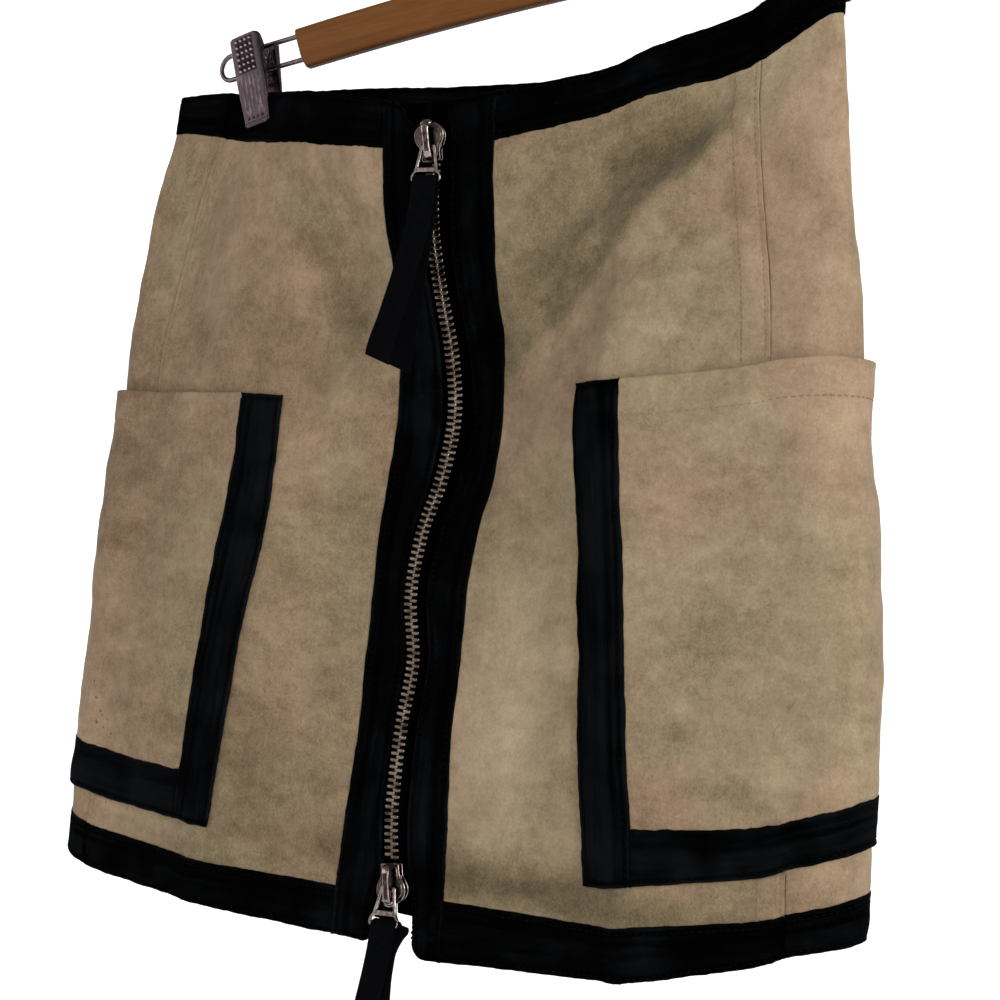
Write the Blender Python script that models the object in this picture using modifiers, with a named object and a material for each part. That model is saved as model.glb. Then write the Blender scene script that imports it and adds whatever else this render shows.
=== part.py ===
"""Suede mini skirt on its clip hanger.

Units are metres, +Z is up, the front of the skirt faces -Y and the wearer's
left hip is at +X.  The frame starts where the hook rests on its rail.

The skirt is one tube of cloth.  A point on it has two pattern coordinates:
  s, across: -6 left side fold, -5 left side seam, -4 / -3 left pocket trim,
     -2 / -1 left placket band, 0 zip, 1 / 2 right placket band,
     3 / 4 right pocket trim, 5 right side seam, 6 right side fold,
     then on round the back: 12 is the centre back and 18 is -6 again.
  v, down: 0 waist edge, 1 waistband seam, 2 pocket mouth, 3 / 4 pocket's
     bottom trim, 5 hem band seam, 6 hem edge.
Every piece of cloth is cut on these lines, so all of them share one surface.
"""
import math
import bpy
import bmesh
import numpy as np
from mathutils import Matrix, Vector

MM = 0.001

# ---------------------------------------------------------------- sizes ----
SUEDE = 1.5 * MM          # thickness of the suede, backing included
BAND = 2.2 * MM           # waistband, hem band and placket, folded tape
TRIM = 2.0 * MM           # folded tape round the pockets
GAP = 0.3 * MM            # between pieces that meet
SEAM_IN = (38.0, 27.0)    # side seam to side fold at the waist and at the hem, mm
TRIM_W = 25.0             # pocket trim width, mm
CHAIN_HALF = 4.0          # half the width of the closed zip chain, mm
SLOT_HALF = 7.0           # zip centre to a placket band's free edge, mm
POCKET_BACK = 8.6         # s where the pockets end on the back (mirrored left)

BAR_LEN = 245.0           # wooden bar, mm
BAR_H = 19.0
BAR_T = 10.0
BAR_TILT = 5.8            # degrees, the bar's right end hangs higher
BAR_SLANT = 2.6           # how far each end's top corner passes its middle, mm
BAR_ARCH = 3.0            # rise of the bar's middle over its ends, mm
WIRE_R = 1.35             # radius of the clip wires, mm
WIRE_SPACE = 13.6         # between the two legs of a wire loop, mm
HOOK_R = 1.9              # radius of the hook's wire, mm
HOOK_BEND = 19.0          # centreline radius of the hook's bend, mm
HOOK_NECK = 36.5          # bar top to the start of the bend, mm
CLIP_W = 18.0
CLIP_LEN = 50.5
CLIP_UP = 10.5            # of which above the wires
CLIP_LEAN = 4.5           # each jaw's lean away from the middle, degrees
WIRE_RISE = 1.5           # wires' middle over the bar end's middle, mm

# Where the bar's middle is, and where the hook rests (mm, skirt frame)
BAR_MID = (1.0, 0.0, 17.5)

# -------------------------------------------------------------- the cloth --
# Heights of the pattern's lines, mm, a row for each line down the skirt and
# a column for each place round it.
LEVEL_AT = (-6, -5, -4, -3, -2, 0, 2, 3, 4, 5, 6, 7, 9.5, 12, 14.5, 17)
LEVEL_COLUMNS = ("fold_l", "seam_l", "trim_lo", "trim_li", "edge_l", "zip", "edge_r",
                 "trim_ri", "trim_ro", "seam_r", "fold_r", "turn_r", "back_r", "back",
                 "back_l", "turn_l")
LEVELS = {
    "waist":       (-17, -18, -23, -28, -38, -41, -37, -31, -22, -6, 10, -3, -25, -25, -20, -18),
    "band_seam":   (-37, -42, -50, -55, -62, -65, -61, -52, -44, -32, -12, -23, -48, -48, -45, -41),
    "mouth":       (-184, -186, -187, -188, -187, -186, -184, -182, -181, -172, -168, -171, -181, -183, -183, -184),
    "trim_top":    (-377, -381, -385, -386, -388, -388, -386, -382, -378, -366, -354, -360, -372, -376, -379, -378),
    "trim_bottom": (-401, -405, -409, -410, -411, -411, -409, -405, -401, -385, -374, -381, -395, -399, -401, -401),
    "hem_seam":    (-416, -422, -427, -428, -427, -426, -425, -422, -419, -404, -394, -400, -412, -415, -417, -417),
    "hem":         (-432, -444, -449, -450, -450, -451.5, -453, -446, -442.5, -421.5, -414.5, -421, -434, -437, -439, -439),
}

# Across the front, mm, a row for each height.
WIDTH_COLUMNS = ("z", "fold_l", "trim_l", "edge_l", "zip", "edge_r", "trim_r", "fold_r")
WIDTHS = (
    (10,   -202, -90, -49, -16, 13, 66, 178),
    (-40,  -205, -90, -48, -16, 13, 67, 181),
    (-75,  -214, -90, -45, -16, 13, 69, 184),
    (-105, -218, -91, -42, -15, 15, 71, 188),
    (-135, -221, -92, -36, -11, 18, 73, 193),
    (-165, -223, -93, -33, -6,  22, 74, 196),
    (-195, -224, -94, -32, -4,  22, 76, 198),
    (-225, -229, -96, -34, -6,  21, 78, 202),
    (-255, -231, -100, -37, -12, 18, 81, 206),
    (-285, -232, -106, -38, -13, 16, 83, 208),
    (-315, -233, -110, -38, -10, 16, 86, 210),
    (-345, -235, -113, -38, -12, 15, 88, 211),
    (-385, -237, -117, -38, -11, 17, 92, 211),
    (-450, -238, -121, -39, -3.2, 21, 97, 211),
)

# The placket bands open into a notch over the top slider and a wider one
# under the bottom slider: the heights where each starts and is full, and how
# much further from the zip each band's edge then lies, mm.
NOTCH_COLUMNS = ("shut", "open", "left", "right")
NOTCHES = ((-60, -43, 5.2, 3.8), (-413, -436, 7.3, 1.8))
# Above the first height the open top of the zip leans over: the second
# height is where it has its whole offset, mm, then the offset.
LEANING = (-60, -44, -7.0)

# How far the front stands out from the side folds, mm.
DEPTH_COLUMNS = ("z", "seam_l", "trim_lo", "trim_li", "edge_l", "zip", "edge_r",
                 "trim_ri", "trim_ro", "seam_r")
DEPTHS = (
    (10,   5, 10, 14, 21, 23, 17, 12, 10, 6),
    (-40,  6, 12, 16, 23, 23, 17, 13, 11, 7),
    (-75,  8, 17, 20, 24, 24, 17, 14, 14, 9),
    (-105, 11, 21, 22, 22, 22, 15, 17, 21, 12),
    (-135, 14, 25, 24, 18, 17, 13, 21, 29, 17),
    (-165, 17, 28, 27, 16, 11, 9, 27, 37, 21),
    (-195, 19, 30, 30, 15, 8, 7, 33, 41, 24),
    (-225, 20, 30, 29, 16, 12, 11, 32, 40, 24),
    (-255, 21, 30, 28, 17, 18, 17, 31, 38, 24),
    (-285, 21, 30, 28, 18, 22, 20, 31, 37, 24),
    (-315, 22, 30, 30, 20, 21, 21, 32, 37, 24),
    (-345, 22, 30, 32, 22, 24, 23, 33, 36, 24),
    (-385, 23, 30, 33, 27, 29, 26, 32, 34, 24),
    (-450, 24, 30, 33, 32, 32, 29, 30, 31, 24),
)
DEPTH_AT = (-5, -4, -3, -2, 0, 2, 3, 4, 5)

# How far the back stands out behind the side folds, mm.
BACK_COLUMNS = ("z", "turn_r", "back_r", "back", "back_l", "turn_l")
BACKS = (
    (10,   6, 7, 8, 6, 5),
    (-60,  7, 11, 10, 9, 6),
    (-120, 11, 15, 12, 13, 10),
    (-190, 15, 19, 15, 17, 14),
    (-300, 18, 24, 18, 23, 18),
    (-450, 20, 27, 21, 27, 20),
)

# Soft folds: a row for each, from one end to the other, mm in X and Z, with
# its half-width and its rise (a trough is negative) and the side it is on.
FOLD_COLUMNS = ("x0", "z0", "x1", "z1", "half", "rise", "side")
FOLDS = (
    (-118, -62, -52, -140, 15, -4.0, -1),    # trough from the left clip inward
    (-140, -60, -132, -175, 14, 3.0, -1),    # ridge straight under the left clip
    (-165, -60, -175, -160, 12, -2.0, -1),
    (150, -48, 62, -128, 16, 4.5, -1),       # ridge from the right clip inward
    (128, -42, 40, -150, 18, -4.0, -1),      # trough beside it
    (60, -75, 22, -120, 12, 2.5, -1),
    (-70, -230, -62, -400, 18, -3.0, -1),    # long soft trough left of the zip
    (55, -260, 62, -400, 16, -2.5, -1),
    (145, -60, 70, -170, 18, 3.5, 1),        # and like ones on the back
    (-130, -60, -80, -180, 16, 3.0, 1),
    (-40, -190, -60, -420, 24, 4.0, 1),
    (60, -210, 80, -430, 24, 3.5, 1),
)

# Where the clips pinch both layers together: x, z, reach, share of depth lost
PINCHES = ((-143.0, -30.0, 24.0, 0.7), (168.0, 2.0, 22.0, 0.3))


def hermite(xs, ys, x):
    """Smooth curve through a table's points; ys may have a row per point."""
    xs = np.asarray(xs, float)
    ys = np.asarray(ys, float)
    x = np.clip(x, xs[0], xs[-1])
    h = np.diff(xs)
    d = np.diff(ys, axis=-1) / h
    m = np.empty_like(ys)
    m[..., 1:-1] = (d[..., :-1] * h[1:] + d[..., 1:] * h[:-1]) / (h[1:] + h[:-1])
    m[..., 0] = d[..., 0] * 0.0
    m[..., -1] = d[..., -1] * 0.0
    i = np.clip(np.searchsorted(xs, x, side="right") - 1, 0, len(xs) - 2)
    t = (x - xs[i]) / h[i]
    if ys.ndim == 1:
        y0, y1, m0, m1 = ys[i], ys[i + 1], m[i], m[i + 1]
    else:
        r = np.arange(len(x))
        y0, y1, m0, m1 = ys[r, i], ys[r, i + 1], m[r, i], m[r, i + 1]
    return ((2 * t ** 3 - 3 * t ** 2 + 1) * y0 + (t ** 3 - 2 * t ** 2 + t) * h[i] * m0
            + (-2 * t ** 3 + 3 * t ** 2) * y1 + (t ** 3 - t ** 2) * h[i] * m1)


def columns(table, z):
    """Every column of a height table at the heights z, one row per height."""
    rows = np.array(table, float)[::-1]
    return np.stack([hermite(rows[:, 0], rows[:, k], z)
                     for k in range(1, rows.shape[1])], -1)


def height(s, v):
    """z of the pattern point, mm."""
    at = np.array(LEVEL_AT, float)
    lines = np.array(list(LEVELS.values()), float)
    around = np.concatenate([at[-2:] - 24, at, at[:2] + 24])
    zs = []
    for row in lines:
        ring = np.concatenate([row[-2:], row, row[:2]])
        zs.append(hermite(around, ring, s))
    zs = np.stack(zs, -1)
    i = np.clip(np.floor(v).astype(int), 0, len(lines) - 2)
    r = np.arange(len(s))
    return zs[r, i] + (zs[r, i + 1] - zs[r, i]) * (v - i)


def soft_folds(x, z, side):
    """Sum of the soft folds on one side at x, z, mm outward."""
    out = np.zeros_like(x)
    for x0, z0, x1, z1, half, rise, on in FOLDS:
        if on != side:
            continue
        dx, dz = x1 - x0, z1 - z0
        length = math.hypot(dx, dz)
        along = ((x - x0) * dx + (z - z0) * dz) / length
        off = ((x - x0) * dz - (z - z0) * dx) / length
        t = np.clip(along / length, -0.4, 1.4)
        end = np.clip(1 - np.abs(t - 0.5) / 0.9, 0, 1)
        end = end * end * (3 - 2 * end) * 1.3
        width = half * (0.8 + 0.5 * np.clip(t, 0, 1))
        out += rise * np.minimum(end, 1) * np.exp(-(off / width) ** 2)
    return out


def pinched(x, z):
    keep = np.ones_like(x)
    for px, pz, reach, share in PINCHES:
        keep *= 1 - share * np.exp(-((x - px) / reach) ** 2 - ((z - pz) / (reach * 1.3)) ** 2)
    return keep


def notch(z):
    """How much further the left and right placket edges lie at height z."""
    left, right = np.zeros_like(z), np.zeros_like(z)
    for shut, wide, far_l, far_r in NOTCHES:
        t = np.clip((z - shut) / (wide - shut), 0, 1)
        t = t * t * (3 - 2 * t)
        left += far_l * t
        right += far_r * t
    return left, right


def seam_in(z):
    """How far inside its side fold a side seam lies at height z."""
    t = np.clip((-z - 80) / 360, 0, 1)
    return SEAM_IN[0] + (SEAM_IN[1] - SEAM_IN[0]) * t


def round_side(t, r, reach, seam, sign):
    """The way round a side fold: t is 0 at the seam and 1 at the fold.

    Straight first, then a quarter circle whose radius r is the depth."""
    r = np.minimum(r, reach)
    straight = reach - r
    run = t * (straight + math.pi / 2 * r)
    a = np.clip((run - straight) / r, 0, math.pi / 2)
    x = np.minimum(run, straight) + r * np.sin(a)
    return seam + sign * x, r * np.cos(a)


def skirt(s, v):
    """Points of the skirt's outer surface, mm, for arrays s and v."""
    s = np.asarray(s, float)
    v = np.asarray(v, float)
    s = np.where(s < -6, s + 24, s)
    z = height(s, v)
    w = columns(WIDTHS, z)
    fold_l, trim_l, edge_l, zipx, edge_r, trim_r, fold_r = w.T
    reach = seam_in(z)
    seam_l, seam_r = fold_l + reach, fold_r - reach
    open_l, open_r = notch(z)
    # the front, from seam to seam
    f = np.clip(s, -5, 5)
    st = np.stack([seam_l, trim_l - TRIM_W, trim_l, edge_l, zipx - SLOT_HALF - open_l, zipx,
                   zipx + SLOT_HALF + open_r, edge_r, trim_r, trim_r + TRIM_W - 0.7, seam_r], -1)
    x_front = hermite(np.arange(-5, 6), st, f)
    t = np.clip((z - LEANING[0]) / (LEANING[1] - LEANING[0]), 0, 1)
    x_front = x_front + LEANING[2] * t * t * (3 - 2 * t) * np.clip(2 - np.abs(f), 0, 1)
    d = hermite(DEPTH_AT, columns(DEPTHS, z), f)
    fade = np.clip((6 - np.abs(f)) / 1.6, 0, 1) * np.clip((np.abs(f) - 0.8) / 1.6, 0, 1)
    d = (d + fade * soft_folds(x_front, z, -1)) * pinched(x_front, z)
    x_side, y_side = round_side(np.clip(np.abs(s) - 5, 0, 1), d, reach,
                                np.where(s > 0, seam_r, seam_l), np.sign(s))
    side = np.abs(s) > 5
    x_front = np.where(side, x_side, x_front)
    y_front = -np.where(side, y_side, d)
    # the back, from the right fold round to the left one
    t = np.clip(s, 7, 17)
    x_back = seam_r + (seam_l - seam_r) * (t - 7) / 10
    d = hermite(np.array([7, 9.5, 12, 14.5, 17]), columns(BACKS, z), t)
    fade = np.clip(np.minimum(t - 6, 18 - t) / 2.0, 0, 1)
    d = (d + fade * soft_folds(x_back, z, 1)) * pinched(x_back, z)
    right = s < 12
    x_side, y_side = round_side(np.clip(np.where(right, 7 - s, s - 17), 0, 1), d, reach,
                                np.where(right, seam_r, seam_l), np.where(right, 1, -1))
    side = (s < 7) | (s > 17)
    x_back = np.where(side, x_side, x_back)
    y_back = np.where(side, y_side, d)
    back = s > 6
    return np.stack([np.where(back, x_back, x_front), np.where(back, y_back, y_front), z], -1)


def outward(s, v):
    """Unit normals of the skirt, pointing out of the tube."""
    e, g = 0.02, 0.02
    s = np.asarray(s, float)
    v = np.asarray(v, float)
    ds = skirt(s + e, v) - skirt(s - e, v)
    dv = skirt(s, np.clip(v + g, 0, 6)) - skirt(s, np.clip(v - g, 0, 6))
    n = np.cross(dv, ds)
    return n / np.linalg.norm(n, axis=-1, keepdims=True)


def hook_top():
    """Where the hook's inside rests on its rail, mm in the skirt's frame."""
    a = math.radians(BAR_TILT)
    up = BAR_H / 2 + HOOK_NECK + HOOK_BEND - HOOK_R
    return np.array([BAR_MID[0] - up * math.sin(a), 0.0, BAR_MID[2] + up * math.cos(a)])


ORIGIN = hook_top()


def place(p):
    """From millimetres in the skirt's frame to metres in the part's frame."""
    return (np.asarray(p, float) - ORIGIN) * MM


# ------------------------------------------------------------- the scene ---
for o in list(bpy.data.objects):
    bpy.data.objects.remove(o, do_unlink=True)
parts = bpy.data.collections.new("suede_mini_skirt_on_clip_hanger")
bpy.context.scene.collection.children.link(parts)
cutters = bpy.data.collections.new("cutters")
bpy.context.scene.collection.children.link(cutters)


def material(name, colour, rough, metal=0.0):
    m = bpy.data.materials.new(name)
    m.use_nodes = True
    b = m.node_tree.nodes["Principled BSDF"]
    b.inputs["Base Color"].default_value = (*colour, 1)
    b.inputs["Roughness"].default_value = rough
    b.inputs["Metallic"].default_value = metal
    return m


SUEDE_M = material("suede", (0.30, 0.22, 0.13), 0.95)
TRIM_M = material("black_trim", (0.008, 0.009, 0.013), 0.9)
TAPE_M = material("zip_tape", (0.006, 0.006, 0.009), 0.9)
TEETH_M = material("zip_metal", (0.45, 0.38, 0.34), 0.35, 1.0)
SLIDER_M = material("slider_metal", (0.66, 0.63, 0.60), 0.25, 1.0)
RIBBON_M = material("ribbon", (0.007, 0.008, 0.012), 0.85)
WOOD_M = material("wood", (0.32, 0.17, 0.07), 0.5)
CLIP_M = material("clip_metal", (0.23, 0.21, 0.23), 0.35, 1.0)
WIRE_M = material("wire_metal", (0.5, 0.48, 0.47), 0.25, 1.0)


def finish_object(o, mat, smooth=True):
    o.data.materials.append(mat)
    parts.objects.link(o)
    if smooth and o.type == "MESH":
        o.data.shade_smooth()
        o.data.set_sharp_from_angle(angle=math.radians(35))
    return o


def spread(a, b, n):
    return [a + (b - a) * k / n for k in range(n + 1)]


# Grid lines of the cloth, shared by every piece so that facets lie parallel.
ACROSS_STEPS = {(-6, -5): 4, (-5, -4): 4, (-4, -3): 2, (-3, -2): 5, (-2, -1): 2, (-1, 1): 2,
                (1, 2): 2, (2, 3): 5, (3, 4): 2, (4, 5): 4, (5, 6): 4, (6, 7): 4,
                (7, POCKET_BACK): 2, (POCKET_BACK, 24 - 6 - (POCKET_BACK - 6)): 10,
                (24 - 6 - (POCKET_BACK - 6), 17): 2, (17, 18): 4}
DOWN_STEPS = {(0, 1): 2, (1, 2): 7, (2, 3): 10, (3, 4): 1, (4, 5): 1, (5, 6): 1}


def lines(steps, lo, hi):
    out = []
    for (a, b), n in steps.items():
        if a >= lo - 1e-6 and b <= hi + 1e-6:
            seg = spread(a, b, n)
            out += seg if not out else seg[1:]
    return out


def across(lo, hi):
    """Grid lines from s = lo to hi; past 18 they go on into the front."""
    if hi > 18:
        return lines(ACROSS_STEPS, lo, 18) + [t + 24 for t in lines(ACROSS_STEPS, -6, hi - 24)][1:]
    return lines(ACROSS_STEPS, lo, hi)


def sheet(name, ss, vs, base, thick, mat, lift=None):
    """A wall of cloth over the pattern lines ss and vs.

    base is how far its first face is from the skirt's surface and base +
    thick is its second; both are offset along the skirt's own normals, so
    the edges of neighbours lie parallel.  lift(s, v) adds to both.  The
    edges keep half a gap to their lines."""
    ns, nv = len(ss), len(vs)
    bm = bmesh.new()
    bmesh.ops.create_grid(bm, x_segments=ns - 1, y_segments=nv - 1, size=0.5)
    bmesh.ops.triangulate(bm, faces=bm.faces[:], quad_method="FIXED")
    firsts = bm.verts[:]
    rim = [tuple(e.verts) for e in bm.edges if e.is_boundary]
    copy = bmesh.ops.duplicate(bm, geom=bm.verts[:] + bm.edges[:] + bm.faces[:])
    pair = {vert: copy["vert_map"][vert] for vert in firsts}
    S, V = np.meshgrid(np.array(ss, float), np.array(vs, float), indexing="ij")
    s, v = S.ravel(), V.ravel()
    s = np.where(s > 18, s - 24, s)
    P = skirt(s, v)
    N = outward(s, v)
    extra = np.zeros(len(s)) if lift is None else lift(S.ravel(), v)
    half = GAP / MM / 2

    def pull(a, b):
        d = b - a
        return a + d / np.linalg.norm(d, axis=-1, keepdims=True) * half

    def face_points(offset):
        Q = (P + N * (offset / MM + extra)[:, None]).reshape(ns, nv, 3)
        R = Q.copy()
        R[0] = pull(Q[0], Q[1])
        R[-1] = pull(Q[-1], Q[-2])
        T = R.copy()
        T[:, 0] = pull(R[:, 0], R[:, 1])
        T[:, -1] = pull(R[:, -1], R[:, -2])
        return T
    A = face_points(base)
    B = face_points(base + thick)
    for va, vb in pair.items():
        i = int(round((va.co.x + 0.5) * (ns - 1)))
        j = int(round((va.co.y + 0.5) * (nv - 1)))
        va.co = Vector(place(A[i, j]))
        vb.co = Vector(place(B[i, j]))
    for a, b in rim:
        bm.faces.new((a, b, pair[b], pair[a]))
    bmesh.ops.triangulate(bm, faces=[f for f in bm.faces if len(f.verts) == 4])
    bmesh.ops.recalc_face_normals(bm, faces=bm.faces[:])
    me = bpy.data.meshes.new(name)
    bm.to_mesh(me)
    bm.free()
    return finish_object(bpy.data.objects.new(name, me), mat)


ALL = lines(DOWN_STEPS, 0, 6)
BODY_V = lines(DOWN_STEPS, 1, 5)
WAIST_V = lines(DOWN_STEPS, 0, 1)
HEM_V = lines(DOWN_STEPS, 5, 6)
TAPE_END = 5.22           # where the zip tapes stop short of the hem
PLACKET_V = [v for v in ALL if v < TAPE_END] + [TAPE_END] + [v for v in ALL if v > TAPE_END]

# suede panels: the back one wraps round both sides to the side seams
sheet("front_left", across(-5, -2), BODY_V, 0, -SUEDE, SUEDE_M)
sheet("front_right", across(2, 5), BODY_V, 0, -SUEDE, SUEDE_M)
sheet("back", across(5, 19), BODY_V, 0, -SUEDE, SUEDE_M)

# bands
for tag, vs in (("waistband", WAIST_V), ("hem_band", HEM_V)):
    sheet(tag + "_left", across(-5, -2), vs, 0.5 * MM, -BAND, TRIM_M)
    sheet(tag + "_right", across(2, 5), vs, 0.5 * MM, -BAND, TRIM_M)
    sheet(tag + "_back", across(5, 19), vs, 0.5 * MM, -BAND, TRIM_M)
sheet("placket_left", across(-2, -1), PLACKET_V, 0.6 * MM, -BAND, TRIM_M)
sheet("placket_right", across(1, 2), PLACKET_V, 0.6 * MM, -BAND, TRIM_M)

# pockets and their trim lie on the panels
MOUTH_V = lines(DOWN_STEPS, 2, 3)
FOOT_V = lines(DOWN_STEPS, 3, 4)
SIDE_V = lines(DOWN_STEPS, 2, 4)
ON = 0.4 * MM


def mouth_lift(s, v):
    """The pocket's mouth stands off the skirt a little."""
    t = np.clip(1 - (v - 2) / 0.28, 0, 1)
    mid = np.clip((np.abs(np.where(s > 12, s - 24, s)) - 4) / 1.2, 0, 1)
    back = np.clip((POCKET_BACK - np.abs(np.where(s > 12, s - 24, s))) / 1.0, 0, 1)
    return 2.4 * t * t * mid * back


left_ss = across(24 - POCKET_BACK, 20)
right_ss = across(4, POCKET_BACK)
sheet("pocket_left", left_ss, MOUTH_V, ON, SUEDE, SUEDE_M, mouth_lift)
sheet("pocket_right", right_ss, MOUTH_V, ON, SUEDE, SUEDE_M, mouth_lift)
sheet("pocket_trim_side_left", across(-4, -3), SIDE_V, ON, TRIM, TRIM_M)
sheet("pocket_trim_side_right", across(3, 4), SIDE_V, ON, TRIM, TRIM_M)
sheet("pocket_trim_bottom_left", left_ss, FOOT_V, ON, TRIM, TRIM_M)
sheet("pocket_trim_bottom_right", right_ss, FOOT_V, ON, TRIM, TRIM_M)

# ---------------------------------------------------------------- the zip --
# The tapes lie behind the placket bands; the chain runs between the sliders.
TAPE_IN = 0.6 * MM - BAND - 0.35 * MM


def zip_lines(lo, hi, n):
    return spread(lo, hi, n)


def strip(name, s0, s1, v0, v1, nv, base, thick, mat):
    return sheet(name, [s0, s1], zip_lines(v0, v1, nv), base, thick, mat)


V_TOP, V_BOTTOM = 0.0, 6.0


def v_at(z):
    """Pattern v on the zip line at height z, mm."""
    zs = np.array([row[LEVEL_COLUMNS.index("zip")] for row in LEVELS.values()], float)
    return float(np.interp(-z, -zs, np.arange(len(zs))))


TOP_SLIDER_Z = -62.5      # middle of each slider, mm
BOTTOM_SLIDER_Z = -420.5
SLIDER_HALF = 10.5
ZIP_V = [v for v in PLACKET_V if v <= TAPE_END]
TAPE_S = (0.06, 0.57, 1.0, 1.5)
for tag, sign in (("left", -1), ("right", 1)):
    ss = sorted(sign * t for t in TAPE_S)
    sheet("zip_tape_" + tag, ss, ZIP_V, TAPE_IN, -0.7 * MM, TAPE_M)
chain_s = CHAIN_HALF / SLOT_HALF
v_hi, v_lo = v_at(TOP_SLIDER_Z - SLIDER_HALF - 0.5), v_at(BOTTOM_SLIDER_Z + SLIDER_HALF + 0.5)
chain_v = [v_hi] + [v for v in ALL if v_hi + 0.05 < v < v_lo - 0.05] + [v_lo]
sheet("zip_chain", [-chain_s, 0, chain_s], chain_v, TAPE_IN + 0.5 * MM, 2.8 * MM, TEETH_M)


def extruded(name, outline, holes, thick, mat, link=True):
    """A flat plate in its own XY plane from an outline and holes, mm."""
    cu = bpy.data.curves.new(name, "CURVE")
    cu.dimensions = "2D"
    cu.fill_mode = "BOTH"
    cu.extrude = thick / 2 * MM
    for loop in [outline] + holes:
        sp = cu.splines.new("POLY")
        sp.points.add(len(loop) - 1)
        for p, (x, y) in zip(sp.points, loop):
            p.co = (x * MM, y * MM, 0, 1)
        sp.use_cyclic_u = True
    o = bpy.data.objects.new(name, cu)
    bpy.context.scene.collection.objects.link(o)
    bpy.context.view_layer.update()
    me = bpy.data.meshes.new_from_object(o.evaluated_get(bpy.context.evaluated_depsgraph_get()))
    me.name = name
    bm = bmesh.new()
    bm.from_mesh(me)
    bmesh.ops.remove_doubles(bm, verts=bm.verts[:], dist=1e-6)
    bmesh.ops.recalc_face_normals(bm, faces=bm.faces[:])
    bm.to_mesh(me)
    bm.free()
    bpy.data.objects.remove(o, do_unlink=True)
    n = bpy.data.objects.new(name, me)
    if link:
        finish_object(n, mat, smooth=False)
    return n


def box(name, size, at):
    bm = bmesh.new()
    bmesh.ops.create_cube(bm, size=1.0)
    bmesh.ops.scale(bm, vec=Vector(size) * MM, verts=bm.verts[:])
    bmesh.ops.translate(bm, vec=Vector(at) * MM, verts=bm.verts[:])
    me = bpy.data.meshes.new(name)
    bm.to_mesh(me)
    bm.free()
    return bpy.data.objects.new(name, me)


def joined(target, others):
    """Boolean unions of target with others, kept as modifiers."""
    for k, c in enumerate(others):
        cutters.objects.link(c)
        c.hide_render = True
        c.display_type = "WIRE"
        c.parent = target
        m = target.modifiers.new("join%d" % k, "BOOLEAN")
        m.operation = "UNION"
        m.object = c
    return target


def oval(cx, cy, rx, ry, n=16, a0=0.0, a1=360.0):
    full = abs(a1 - a0) >= 360
    k = n if full else n + 1
    return [(cx + rx * math.cos(math.radians(a0 + (a1 - a0) * i / n)),
             cy + ry * math.sin(math.radians(a0 + (a1 - a0) * i / n))) for i in range(k)]


def frame_at(z, lift):
    """Matrix of a part on the zip: X across, Y up the zip, Z out of it."""
    v = v_at(z)
    p = skirt([0.0], [v])[0]
    up = skirt([0.0], [v - 0.06])[0] - skirt([0.0], [v + 0.06])[0]
    out = outward(np.array([-0.9, 0.9]), np.array([v, v])).mean(0)
    up = up / np.linalg.norm(up)
    out = out - up * out.dot(up)
    out = out / np.linalg.norm(out)
    side = np.cross(up, out)
    p = place(p + out * lift)
    m = Matrix.Identity(4)
    for i in range(3):
        m[i][0], m[i][1], m[i][2], m[i][3] = side[i], up[i], out[i], p[i]
    return m


# Slider, in its own frame, wide end at +Y.  Z = 0 is its plate's underside.
PLATE_T = 2.0
BAIL_CLEAR = 3.6
BAIL_T = 1.6


def slider_outline():
    return (oval(0, 3.0, 7.8, 6.2, 12, 0, 180) + [(-7.2, 0.0), (-5.0, -4.6), (-4.8, -10.0),
            (4.8, -10.0), (5.0, -4.6), (7.2, 0.0)])


def slider(name, z, flip, lift, tip, lean):
    o = extruded(name, slider_outline(), [], PLATE_T, SLIDER_M)
    o.data.transform(Matrix.Translation((0, 0, PLATE_T / 2 * MM)))
    neck = box(name + "_neck", (8.4, 18.0, 3.0), (0, 0.0, -1.0))
    bail = []
    top = PLATE_T + BAIL_CLEAR
    bail.append(box(name + "_bail_head", (4.0, 3.0, top + BAIL_T - 1.0), (0, 7.0, (top + BAIL_T + 1.0) / 2)))
    bail.append(box(name + "_bail_foot", (4.0, 2.4, top + BAIL_T - 1.0), (0, -8.2, (top + BAIL_T + 1.0) / 2)))
    bail.append(box(name + "_bail_bar", (4.0, 17.0, BAIL_T), (0, -0.6, top + BAIL_T / 2)))
    joined(o, [neck] + bail)
    m = frame_at(z, lift)
    if flip:
        m = m @ Matrix.Rotation(math.pi, 4, "Z")
    # its wide end tips out of the cloth and leans to one side
    foot = Matrix.Translation((0, -9.0 * MM, 0))
    m = (m @ foot @ Matrix.Rotation(math.radians(tip), 4, "X")
         @ Matrix.Rotation(math.radians(lean), 4, "Z") @ foot.inverted())
    o.matrix_world = m
    return o, m


top_slider, TOP_M = slider("slider_top", TOP_SLIDER_Z, False, 1.2, 9.0, 8.0)
bottom_slider, BOTTOM_M = slider("slider_bottom", BOTTOM_SLIDER_Z, True, 1.0, 0.0, 0.0)

# Pull tab: a flat frame with splayed legs, a crossbar and two feet, hung by
# its head bar under the bail.  Its own frame has the head bar's axis on X.
TAB_T = 1.8


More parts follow.
